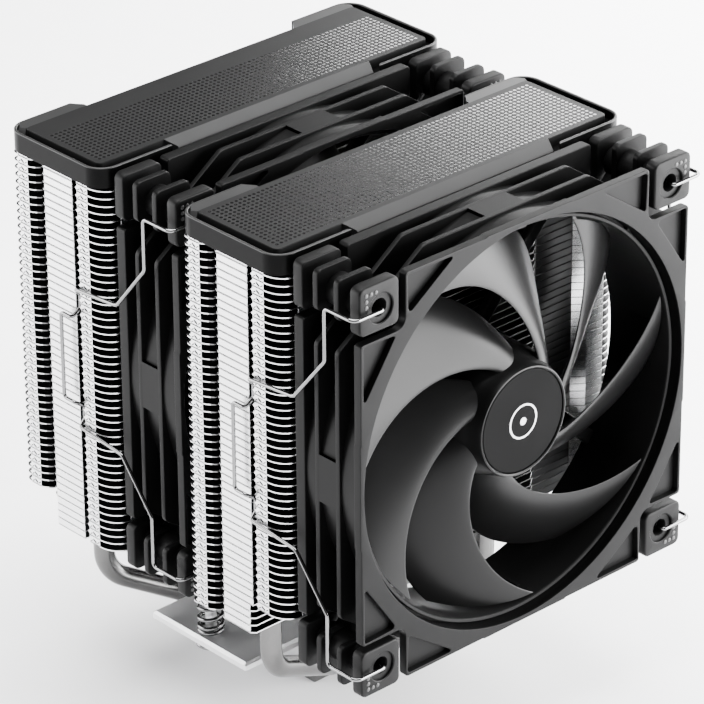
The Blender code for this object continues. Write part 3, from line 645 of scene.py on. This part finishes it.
def ear_floor(bm, sign):
    """The flat that joins the plateau to one ear, with a slanted end over the channel."""
    shared = [(EAR_X + 0.1, COVER_Y - 0.35), (EAR_X - 2.3, RECESS_Y), (EAR_X - 2.3, PLATEAU_REAR - 0.3)]
    top = shared + [(PLATEAU_X - 0.4, PLATEAU_REAR - 0.3), (PLATEAU_X + 0.6, EAR_BEND_Y),
                    (EAR_TOP_X, COVER_Y - 0.35)]
    low = shared + [(COVER_X - 1.2, PLATEAU_REAR - 1.6), (COVER_X - 0.6, EAR_BEND_Y),
                    (EAR_LOW_X, COVER_Y - 0.35)]
    loops = [[bm.verts.new((sign * x, y, z)) for x, y in points]
             for points, z in ((low, CHANNEL_Z - 0.2), (top, COVER_TOP - 0.04))]
    # the ear's flat takes the lighter lip finish: painted highlight
    for face in bridge(bm, *loops) + [bm.faces.new(loops[1])]:
        face.material_index = BODY_PAINTED_HIGHLIGHT


def dimples(bm, low, high, z, boundary):
    """A grid of small round pits in a flat top, joined to the boundary loop round it."""
    columns = int((high[0] - low[0]) / DIMPLE_PITCH)
    rows = int((high[1] - low[1]) / DIMPLE_PITCH)
    x0 = (low[0] + high[0] - columns * DIMPLE_PITCH) / 2
    y0 = (low[1] + high[1] - rows * DIMPLE_PITCH) / 2
    corner = [[bm.verts.new((x0 + i * DIMPLE_PITCH, y0 + j * DIMPLE_PITCH, z)) for j in range(rows + 1)]
              for i in range(columns + 1)]
    angles = [math.radians(22.5 + 45 * k) for k in range(8)]
    for i in range(columns):
        for j in range(rows):
            cx, cy = x0 + (i + 0.5) * DIMPLE_PITCH, y0 + (j + 0.5) * DIMPLE_PITCH
            rim, floor = [[bm.verts.new((cx + radius * math.cos(a), cy + radius * math.sin(a), depth))
                           for a in angles]
                          for radius, depth in ((DIMPLE_R, z), (DIMPLE_R * DIMPLE_FLOOR, z - DIMPLE_DEPTH))]
            square = (corner[i + 1][j + 1], corner[i][j + 1], corner[i][j], corner[i + 1][j])
            around = []
            for k in range(4):
                around.append(bm.faces.new((square[k], rim[2 * k + 1], rim[2 * k])))
                around.append(bm.faces.new((square[k], square[(k + 1) % 4], rim[(2 * k + 2) % 8],
                                            rim[2 * k + 1])))
            for face in around + bridge(bm, rim, floor):
                face.material_index = TOP_LATTICE
            # pit floors take the darker dimple finish: painted shade
            bm.faces.new(floor).material_index = TOP_PAINTED_PIT_SHADE
    edge = [corner[i][0] for i in range(columns)] + [corner[columns][j] for j in range(rows)]
    edge += [corner[i][rows] for i in range(columns, 0, -1)] + [corner[0][j] for j in range(rows, 0, -1)]
    fill(bm, [boundary, edge])


def cover(tower, sign, finishes):
    """A cover: body, thin rims round its ends, dimpled plateau and a sloping front lip."""
    place = Matrix.Translation((0, sign * TOWER_Y, 0))
    body = bmesh.new()
    slab(body, cover_outline(), COVER_BOTTOM, CHANNEL_Z, edge=0, low_edge=0.15)
    for side in (-1, 1):
        slab(body, ear_rim(side), CHANNEL_Z, COVER_TOP, edge=0.32, low_edge=0, steps=3)
    # rim tops take the lighter lip finish: painted highlight
    for face in body.faces:
        if face.calc_center_median().z > COVER_TOP - 0.3:
            face.material_index = BODY_PAINTED_HIGHLIGHT
    for side in (-1, 1):
        ear_floor(body, side)
    # walls and channel floor in the darker copy, painted shade; rim tops and ear flats in the lighter lip
    # copy, painted highlight
    piece(f"{tower}_cover_body", body, (finishes["cover_plastic"], finishes["lip"]), "cooler",
          (f"{tower}_top_cover",), 35, place)
    top = bmesh.new()
    outline = rectangle((-PLATEAU_X, PLATEAU_FRONT), (PLATEAU_X, PLATEAU_REAR), 1.5, 5)
    profile = [(0.0, CHANNEL_Z - 0.4), (0.0, COVER_TOP - 0.14), (0.12, COVER_TOP)]
    rings = [ring(top, inset(outline, amount), z) for amount, z in profile]
    for a, b in zip(rings, rings[1:]):
        bridge(top, a, b)
    fill(top, [rings[0]])
    low = (-PLATEAU_X + 1.1, PLATEAU_FRONT + 1.0)
    high = (PLATEAU_X - 1.1, PLATEAU_REAR - PLAIN_STRIP[tower])
    dimples(top, low, high, COVER_TOP, rings[-1])
    ramp(top)
    finish = tuple(finishes[key] for key in ("cover_top", "dimple", "lattice", "lip"))
    piece(f"{tower}_cover_plateau", top, finish, "cooler", (), 30, place)


def ramp(bm):
    """The lip that slopes down from the plateau to the cover's front edge, with mitred ends."""
    back, front = PLATEAU_FRONT + 0.6, -COVER_Y + 0.05
    section = [(back, COVER_TOP - 0.02), (PLATEAU_FRONT - 0.1, COVER_TOP - 0.02),
               (front + 0.4, RAMP_LOW_Z + 0.1), (front, RAMP_LOW_Z - 0.3), (front, COVER_BOTTOM + 0.3),
               (back, COVER_BOTTOM + 0.3)]
    reach = [RAMP_TOP_X, RAMP_TOP_X, RAMP_LOW_X, RAMP_LOW_X, RAMP_LOW_X, RAMP_TOP_X]
    loops = []
    for side in (-1, 1):
        loops.append([bm.verts.new((side * x, y, z)) for x, (y, z) in zip(reach, section)])
    # the sloping lip takes the lighter lip finish: painted highlight
    for face in bridge(bm, *loops) + [bm.faces.new(loop) for loop in loops]:
        face.material_index = TOP_PAINTED_HIGHLIGHT


# ---------------------------------------------------------------- fans

def fan_place(front_y, axis_z):
    """Stands a fan up: its front faces -Y."""
    return Matrix.Translation((0, front_y, axis_z)) @ Matrix.Rotation(math.pi / 2, 4, "X")


def four_times(points):
    """Repeat a quarter outline at every quarter turn."""
    whole = []
    for turn in range(4):
        for x, y in points:
            for _ in range(turn):
                x, y = -y, x
            whole.append((x, y))
    return whole


def flange_outline(bulge):
    """A square without its corner squares, with a faint bulge at the middle of each side."""
    inner, half = FRAME_INNER, FAN_HALF
    quarter = []
    if bulge:
        quarter += [(half, -15.6), (BULGE_HALF, -15.0), (BULGE_HALF, 15.0), (half, 15.6)]
    quarter += arc((half - 1.0, inner - 1.0), 1.0, 0, 90, 3)
    quarter += arc((inner + 3.0, inner + 3.0), 3.0, 270, 180, 6)
    quarter += arc((inner - 1.0, half - 1.0), 1.0, 0, 90, 3)
    return four_times(quarter)


def pockets():
    """The eight triangular recesses beside the corners."""
    found = []
    for swap in (False, True):
        for sx in (-1, 1):
            for sy in (-1, 1):
                points = [(sx * x, sy * y) for x, y in POCKET]
                if swap:
                    points = [(y, x) for x, y in points]
                area = sum(a[0] * b[1] - b[0] * a[1] for a, b in zip(points, points[1:] + points[:1]))
                if area < 0:
                    points = points[::-1]
                found.append(points)
    return found


def frame_tube(bm):
    """The round duct, with a groove between its front end and the flange."""
    profile = [(BORE_R, -FAN_DEPTH + 0.3), (BORE_R, -3.2), (BORE_R + 0.35, -2.7), (BORE_R + 1.05, -2.6),
               (BORE_R + 1.25, -2.8), (BORE_R + 1.25, -5.4), (MOUTH_R, -5.4), (MOUTH_R, -0.5),
               (TUBE_R, -0.5), (TUBE_R, -FAN_DEPTH + 0.1), (BORE_R + 0.2, -FAN_DEPTH + 0.1)]
    turned(bm, profile, 160)


def frame_flanges(bm):
    """Front and rear flanges. Pockets go through the front one to floors behind it."""
    mouth = circle((0, 0), MOUTH_R, 160)
    holes = [mouth] + [round_corners(points, POCKET_RADII, 3) for points in pockets()]
    slab(bm, flange_outline(True), -2.6, 0, holes=holes, edge=0.28)
    for points in pockets():
        slab(bm, inset(points, -0.3), -2.55, -1.8, edge=0)
    slab(bm, flange_outline(False), -FAN_DEPTH, -FAN_DEPTH + 3.5, holes=[circle((0, 0), BORE_R + 0.6, 160)],
         edge=0.35)


def frame_ribs(bm):
    """Two thin octagonal ribs, joined by a web at the middle of each side."""
    half = FAN_HALF
    right = [(half, -38.9), (half, 38.9), (29.8, half)]
    outline = right + [(-x, y) for x, y in reversed(right)] + [(-29.8, -half), (29.8, -half)]
    outline = round_corners(outline, [2.5] * len(outline), 4)
    for depth in RIB_DEPTHS:
        slab(bm, outline, -depth - RIB_T, -depth, holes=[circle((0, 0), TUBE_R - 0.4, 128)], edge=0.28)
    for turn in range(4):
        low, high = -RIB_DEPTHS[1] - 0.8, -RIB_DEPTHS[0] - 0.8
        spin = Matrix.Rotation(math.pi / 2 * turn, 4, "Z")
        web = rectangle((-RIB_WEB_X, half - 1.7), (RIB_WEB_X, half - 0.02))
        transform(bm, slab(bm, web, low, high, edge=0), spin)
        for side in (-1, 1):
            outer, inner = side * RIB_WEB_X, side * (RIB_WEB_X - RIB_WEB_T)
            wall = [(outer, half - 4.0), (inner, half - 4.0), (inner, half - 0.2), (outer, half - 0.2)]
            wall = wall if side < 0 else wall[::-1]
            transform(bm, slab(bm, wall, low, high, edge=0), spin)


def frame_corners(bm):
    """Behind each front pad: a hollow column, two leaves and a web to the duct."""
    front, rear = -PAD_T - 0.3, -FAN_DEPTH + PAD_T + 0.3
    for turn in range(4):
        at = (HOLE_AT, HOLE_AT)
        column = [(HOLE_R - 0.1, rear), (HOLE_R - 0.1, front), (4.1, front), (4.4, front - 0.3),
                  (4.4, rear + 0.3), (4.1, rear)]
        verts = list(turned(bm, column, 32, center=at))
        for depth in RIB_DEPTHS:
            leaf = rectangle((47.7, 47.7), (59.6, 59.6), 1.8, 4)
            bore = [(at, [(HOLE_R + 1.6, -depth + 0.15), (HOLE_R + 1.6, -depth - RIB_T - 0.15)], 24)]
            verts += list(slab(bm, leaf, -depth - RIB_T - 0.15, -depth + 0.15, bores=bore, edge=0.35))
        web = slab(bm, rectangle((BORE_R + 1.4, -0.8), (HOLE_AT * math.sqrt(2) - 3.9, 0.8)), rear + 0.4,
                   front - 0.4, edge=0.25)
        transform(bm, web, Matrix.Rotation(math.pi / 4, 4, "Z"))
        verts += list(web)
        transform(bm, verts, Matrix.Rotation(math.pi / 2 * turn, 4, "Z"))


def motor_mount(bm):
    """Motor plate with a rim, and four tilted struts."""
    low = -FAN_DEPTH + 0.2
    turned(bm, [(0, low), (18.6, low), (19.0, low + 0.4), (19.0, -22.0), (18.6, -21.8), (17.4, -21.8),
                (17.2, -22.6), (0, -22.6)], 72, closed=False)
    for i in range(4):
        strut = slab(bm, rectangle((-2.1, 12.0), (2.1, BORE_R + 0.9)), low + 0.15, low + 2.5, edge=0.7,
                     steps=3)
        turn = Matrix.Rotation(math.radians(STRUT_TURN + 90 * i), 4, "Z")
        transform(bm, strut, turn @ Matrix.Translation((STRUT_OFFSET, 0, 0)))


def fan_frame(fan, place, finishes):
    """The whole frame of one fan."""
    bm = bmesh.new()
    frame_tube(bm)
    frame_flanges(bm)
    frame_ribs(bm)
    frame_corners(bm)
    motor_mount(bm)
    piece(f"{fan}_frame", bm, finishes["frame_plastic"], "cooler", (f"{fan}_fan_frame",), 35,
          place)


def fan_pad(fan, label, side, sx, level, sy, place, finishes):
    """A corner pad with a counterbored hole and five small dots near its outer corner."""
    bm = bmesh.new()
    inner, outer = PAD_HALF - PAD_SIZE, PAD_HALF
    outline = rectangle((inner, inner), (outer, outer), PAD_CORNER, 5)
    counterbore = [(4.45, 0), (4.2, -0.2), (4.2, -0.75), (HOLE_R + 0.15, -0.75), (HOLE_R, -0.95),
                   (HOLE_R, -PAD_T)]
    slab(bm, outline, -PAD_T, 0, bores=[((HOLE_AT, HOLE_AT), counterbore, 40)], edge=0.55, low_edge=0.3,
         steps=3)
    for i, j in ((0, 0), (1, 0), (2, 0), (0, 1), (0, 2)):
        spot = (outer - 2.3 - DOT_PITCH * i, outer - 2.3 - DOT_PITCH * j)
        turned(bm, [(0.62, -0.1), (0.6, 0.06), (0.45, 0.18), (0.22, 0.25), (0, 0.26)], 12, False, spot)
    for face in bm.faces:
        face.material_index = PAD_DOT if face.calc_center_median().z > 0 else PAD_RUBBER
    flip = Matrix.Diagonal((sx, sy, 1, 1))
    if label == "rear":
        flip = Matrix.Translation((0, 0, -FAN_DEPTH)) @ Matrix.Diagonal((sx, sy, -1, 1))
    transform(bm, bm.verts, flip)
    piece(f"{fan}_{label}_pad_{level}_{side}", bm, (finishes["rubber"], finishes["rubber_dot"]), "cooler",
          (f"{fan}_fan_{label}_pad_{level}_{side}",), 38, place)


def blade_edges(radius):
    """Leading and trailing edge at a radius: two angles, then two depths."""
    s = (radius - EDGE_R) / EDGE_SPAN
    return [sum(factor * s ** power for power, factor in enumerate(curve))
            for curve in (LEAD_ANGLE, TRAIL_ANGLE, LEAD_DEPTH, TRAIL_DEPTH)]


def blade(bm, index, spans=28, chords=18):
    """One swept blade with a round leading edge and a thin trailing edge."""
    grids = ([], [])
    for i in range(spans + 1):
        share = i / spans
        radius = BLADE_ROOT_R + (BLADE_TIP_R - BLADE_ROOT_R) * share
        lead_angle, trail_angle, lead_depth, trail_depth = blade_edges(radius)
        rows = ([], [])
        for j in range(chords + 1):
            along = 0.5 - 0.5 * math.cos(math.pi * j / chords)
            camber = -BLADE_CAMBER * 4 * along * (1 - along) * (0.6 + 0.4 * share)
            thick = BLADE_T - (BLADE_T - BLADE_TIP_T) * share
            thick *= (0.22 + 2.1 * math.sqrt(along) * (1 - along) ** 0.8) / 2
            thick = max(thick, BLADE_THIN) if 0 < j < chords else BLADE_EDGE
            angle = lead_angle + (trail_angle - lead_angle) * along + 2 * math.pi / BLADES * index
            depth = lead_depth + (trail_depth - lead_depth) * along + camber
            for row, side in zip(rows, (-1, 1)):
                row.append(bm.verts.new((radius * math.cos(angle), radius * math.sin(angle),
                                         -depth - side * thick)))
        for grid, row in zip(grids, rows):
            grid.append(row)
    front, back = grids
    for i in range(spans):
        for j in range(chords):
            bm.faces.new((front[i][j], front[i][j + 1], front[i + 1][j + 1], front[i + 1][j]))
            bm.faces.new((back[i][j], back[i + 1][j], back[i + 1][j + 1], back[i][j + 1]))
    rim = ([(i, 0) for i in range(spans)] + [(spans, j) for j in range(chords)]
           + [(i, chords) for i in range(spans, 0, -1)] + [(0, j) for j in range(chords, 0, -1)])
    for (i, j), (k, m) in zip(rim, rim[1:] + rim[:1]):
        bm.faces.new((front[i][j], front[k][m], back[k][m], back[i][j]))


def fan_rotor(fan, place, finishes):
    """Hub with a round shoulder and seven blades, and the badge in its front."""
    bm = bmesh.new()
    badge_seat = [(0, -2.9), (14.95, -2.9), (14.95, -1.7), (15.25, -1.45), (15.6, -1.55)]
    shoulder = [(15.85, -2.1), (16.1, -3.2), (16.5, -4.8), (17.0, -6.3), (17.7, -7.8), (18.2, -9.4)]
    wall = [(HUB_R, -11.2), (HUB_R, -20.6), (HUB_R - 0.2, -20.8)]
    inside = [(17.3, -20.8), (17.3, -8.8), (15.0, -4.4), (0, -4.4)]
    turned(bm, badge_seat + shoulder + wall + inside, 112, closed=False)
    for index in range(BLADES):
        blade(bm, index)
    body = f"{fan}_rotor"
    piece(f"{fan}_blades", bm, finishes["blade_plastic"], body, (f"{fan}_fan_rotor",), 40,
          place)
    disc = bmesh.new()
    turned(disc, [(0, -2.75), (14.7, -2.75), (14.7, -1.95), (14.45, -1.75), (0, -1.75)], 112, closed=False)
    piece(f"{fan}_badge", disc, finishes["badge"], body, (f"{fan}_fan_hub_badge",), 35, place)
    mark = bmesh.new()
    turned(mark, [(4.5, -1.8), (4.5, -1.66), (5.05, -1.66), (5.05, -1.8)], 64)
    turned(mark, [(0, -1.8), (1.1, -1.8), (1.1, -1.66), (0, -1.66)], 32, closed=False)
    piece(f"{fan}_badge_mark", mark, finishes["badge_mark"], body, (), 35, place)


# ---------------------------------------------------------------- clips

def clip_half(sign):
    """Upper half of a clip, in the fan's X, depth and height. It follows the CAD wire."""
    tip, side, groove, pull = sign * HOLE_AT, sign * 62.6, sign * 61.0, sign * 64.0
    back = 39.3
    return [(tip, 0.4, 52.4), (tip, -1.0, 52.4), (side, -1.0, 52.4), (side, 10.0, 52.4), (side, 10.0, 37.2),
            (side, 22.0, 22.6), (side, back, 21.0), (groove, back, 19.0), (groove, back, 15.0),
            (pull, back + 0.2, 13.0), (pull, back + 4.8, 13.0)]


def wire_clip(fan, side, sign, front_y, axis_z, finishes):
    """One bent wire clip."""
    upper = clip_half(sign)
    corners = upper + [(x, y, -z) for x, y, z in reversed(upper)]
    bends = (0.9, 1.8, 1.5, 2.0, 2.0, 0.7, 0.8, 0.8, 1.0, 1.2)
    bm = bmesh.new()
    sweep(bm, bend_path(corners, bends + bends[::-1], 5), WIRE_R, 14)
    piece(f"{fan}_{side}_wire", bm, finishes["wire_steel"], f"{fan}_{side}_clip",
          (f"{fan}_fan_{side}_clip",), 50, Matrix.Translation((0, front_y, axis_z)))


# ---------------------------------------------------------------- base

def heat_pipe(index, finishes):
    """One U-shaped pipe, on the CAD pipe's route."""
    side = -1 if index < 3 else 1
    rank = 2 - index if index < 3 else index - 3
    base_x = (index - 2.5) * PIPE_PITCH
    fin_x = side * PIPE_FIN_X[rank]
    spread_x = abs(fin_x - base_x)
    half = [(fin_x, TOWER_Y, PIPE_TOP), (fin_x, TOWER_Y, 27.0 - spread_x * 0.05),
            (base_x, 26.0 - 1.4 * rank, 6.3)]
    corners = [(x, -y, z) for x, y, z in half] + half[::-1]
    bm = bmesh.new()
    sweep(bm, bend_path(corners, (11.0, 5.0, 5.0, 11.0), 12), PIPE_R, 28)
    piece(f"pipe_{index + 1}", bm, finishes["nickel"], "cooler", (f"heat_pipe_{index + 1}",), 60)


def screw_head(bm, radius, low, high, sides=40):
    """A pan head with a round hollow in its top."""
    turned(bm, [(0, low), (radius, low), (radius, high - 0.7), (radius - 0.2, high - 0.3),
                (radius - 0.7, high), (radius * 0.45, high), (radius * 0.4, high - 1.2), (0, high - 1.4)],
           sides, closed=False)


def base_parts(finishes):
    """Cold plate, base block, crossbar and its two tie screws."""
    bm = bmesh.new()
    slab(bm, rectangle((-20, -19), (20, 19), 0.6, 3), 0, 3.0, edge=0.35, low_edge=0.35)
    piece("plate", bm, finishes["nickel"], "cooler", ("cold_plate",))
    bm = bmesh.new()
    section = [(-20, 3.3), (-19.05, 3.3), (-19.05, 9.6), (19.05, 9.6), (19.05, 3.3), (20, 3.3), (20, 14.7),
               (-20, 14.7)]
    verts = slab(bm, section, -19, 19, edge=0.4)
    transform(bm, verts, Matrix(((1, 0, 0, 0), (0, 0, -1, 0), (0, 1, 0, 0), (0, 0, 0, 1))))
    piece("block", bm, finishes["aluminium"], "cooler", ("base_block",))
    bm = bmesh.new()
    bores = [((x, 0), [(r, BAR_HIGH), (r - 0.2, BAR_HIGH - 0.2), (r - 0.2, BAR_LOW)], 32)
             for x, r in ((-SCREW_X, 2.2), (SCREW_X, 2.2), (-TIE_X, 1.8), (TIE_X, 1.8))]
    slab(bm, rectangle((-BAR_X, -BAR_Y), (BAR_X, BAR_Y), 0.6, 3), BAR_LOW, BAR_HIGH, bores=bores, edge=0.8,
         low_edge=0.25, steps=1)
    piece("crossbar", bm, finishes["steel"], "cooler", ("mounting_crossbar",), 25)
    for side, sign in SIDES:
        bm = bmesh.new()
        screw_head(bm, 2.8, 17.8, 19.4)
        turned(bm, [(0, 11.2), (1.1, 11.2), (1.2, 11.4), (1.2, 18.2), (0, 18.2)], 20, closed=False)
        piece(f"{side}_bar_screw", bm, finishes["steel"], "cooler", (f"{side}_tie_screw",), 32,
              Matrix.Translation((sign * TIE_X, 0, 0)))


def coil_path(points_a_turn):
    """A spring's coil, with closer turns at both ends."""
    coil = []
    count = COIL_TURNS * points_a_turn
    for i in range(count + 1):
        angle = 2 * math.pi * i / points_a_turn
        share = i / count
        eased = share - COIL_EASE * math.sin(2 * math.pi * share)
        z = COIL_LOW + (COIL_HIGH - COIL_LOW) * eased
        coil.append((COIL_R * math.cos(angle), COIL_R * math.sin(angle), z))
    return coil


def spring_screw(side, sign, finishes):
    """Screw, washer, retaining ring and coil spring at one end of the crossbar."""
    place = Matrix.Translation((sign * SCREW_X, 0, 0))
    bm = bmesh.new()
    screw_head(bm, 4.0, 31.9, 35.1)
    shank = [(0, 12.8), (1.9, 12.8), (2.1, 13.0), (2.1, 13.3), (1.6, 13.3), (1.6, 32.2), (0, 32.2)]
    turned(bm, shank, 28, closed=False)
    piece(f"{side}_screw_body", bm, finishes["steel"], f"{side}_screw",
          (f"{side}_spring_screw",), 32, place)
    bm = bmesh.new()
    slab(bm, arc((0, 0), 4.4, 40, 320, 32) + arc((0, 0), 1.9, 320, 40, 20), 13.6, 14.5, edge=0.2, steps=1)
    piece(f"{side}_ring", bm, finishes["wire_steel"], f"{side}_screw",
          (f"{side}_retaining_ring",), 32, place)
    bm = bmesh.new()
    slab(bm, circle((0, 0), 3.9, 40), 30.8, 31.6, bores=[((0, 0), [(1.9, 31.6), (1.9, 30.8)], 28)], edge=0.15)
    piece(f"{side}_washer", bm, finishes["steel"], f"{side}_screw_seat",
          (f"{side}_screw_washer",), 32, place)
    bm = bmesh.new()
    sweep(bm, coil_path(28), COIL_WIRE_R, 12)
    spring = piece(f"{side}_spring", bm, finishes["spring_steel"], "cooler",
                   (f"{side}_screw_spring",), 50, place)
    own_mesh(spring)


# ---------------------------------------------------------------- stage

def camera():
    """The camera, looking down at the front left corner."""
    azimuth, elevation, roll = [math.radians(a) for a in (CAMERA_AZIMUTH, CAMERA_ELEVATION, CAMERA_ROLL)]
    back = Vector((math.sin(azimuth) * math.cos(elevation), -math.cos(azimuth) * math.cos(elevation),
                   math.sin(elevation)))
    level = (-back).cross(Vector((0, 0, 1))).normalized()
    upright = level.cross(-back)
    right = math.cos(roll) * level + math.sin(roll) * upright
    up = -math.sin(roll) * level + math.cos(roll) * upright
    lens = bpy.data.cameras.new("camera")
    lens.lens, lens.sensor_width = CAMERA_LENS, CAMERA_SENSOR
    lens.clip_start, lens.clip_end = 0.05, 20.0
    seen = bpy.data.objects.new("camera", lens)
    place = Matrix((right, up, back)).transposed().to_4x4()
    place.translation = Vector(CAMERA_AT) * MM
    seen.matrix_world = place
    bpy.context.scene.collection.objects.link(seen)
    bpy.context.scene.camera = seen


def area_light(name, location, target, size, power):
    """A soft rectangular light."""
    data = bpy.data.lights.new(name, "AREA")
    data.shape = "RECTANGLE"
    data.size, data.size_y = size
    data.energy = power
    lamp = bpy.data.objects.new(name, data)
    lamp.location = location
    lamp.visible_camera = False
    lamp.rotation_euler = (Vector(target) - Vector(location)).to_track_quat("-Z", "Y").to_euler()
    bpy.context.scene.collection.objects.link(lamp)


def stage():
    """Pale floor, dim even surroundings and soft boxes."""
    bm = bmesh.new()
    bmesh.ops.create_grid(bm, x_segments=1, y_segments=1, size=6.0)
    mesh = bpy.data.meshes.new("floor")
    bm.to_mesh(mesh)
    bm.free()
    mesh.materials.append(surface("floor", grey(0.93), grey(0.95), (0.7, 0.8), grain=300, relief=0.0))
    floor = bpy.data.objects.new("floor", mesh)
    bpy.context.scene.collection.objects.link(floor)
    world = bpy.data.worlds.new("studio")
    world.use_nodes = True
    world.node_tree.nodes["Background"].inputs["Color"].default_value = (1, 1, 1, 1)
    world.node_tree.nodes["Background"].inputs["Strength"].default_value = 0.12
    bpy.context.scene.world = world
    middle = (0, 0, 0.09)
    area_light("left_panel", (-0.42, 0.48, 0.2), middle, (0.7, 0.4), 9)
    area_light("front_panel", (0.37, -0.46, 0.2), middle, (0.7, 0.4), 25)
    area_light("back_box", (0.65, 0.06, 0.37), (0.65, 0.061, 0.0), (0.6, 0.7), 26)
    area_light("top_box", (0.0, 0.2, 1.8), middle, (1.6, 1.6), 112)


# ---------------------------------------------------------------- the cooler

def dress_hidden(frame, finishes):
    """Motor parts inside the hubs keep their CAD shapes and get finished materials."""
    slots = {"magnet_ring": "magnet", "stator": "copper", "circuit_board": "circuit_board", "shaft": "steel",
             "bearing_sleeve": "brass"}
    for fan in ("front", "middle"):
        for part, slot in slots.items():
            node = frame["nodes"][f"{fan}_fan_{part}"]
            node.data.materials.clear()
            node.data.materials.append(finishes[slot])


def build():
    """Load the frame, light it and dress every part of it; the fans are placed by their CAD frames' bounds.
    """
    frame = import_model()
    finishes = make_materials()
    camera()
    stage()
    dress_hidden(frame, finishes)
    for tower, sign in (("front", -1), ("rear", 1)):
        # the fins' second and third finishes are painted shade
        fins(tower, sign, tuple(finishes[key] for key in ("fin_aluminium", "fin_painted_shade", "fin_painted_recess_shade")))
        cover(tower, sign, finishes)
    for fan in ("front", "middle"):
        low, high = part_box(f"{fan}_fan_frame")
        front_y, axis_z = low.y / MM, (low.z + high.z) / 2 / MM
        place = fan_place(front_y, axis_z)
        fan_frame(fan, place, finishes)
        fan_rotor(fan, place, finishes)
        for label in ("front", "rear"):
            for side, sx in SIDES:
                for level, sy in LEVELS:
                    fan_pad(fan, label, side, sx, level, sy, place, finishes)
        for side, sign in SIDES:
            wire_clip(fan, side, sign, front_y, axis_z, finishes)
    for index in range(6):
        heat_pipe(index, finishes)
    base_parts(finishes)
    for side, sign in SIDES:
        spring_screw(side, sign, finishes)


build()
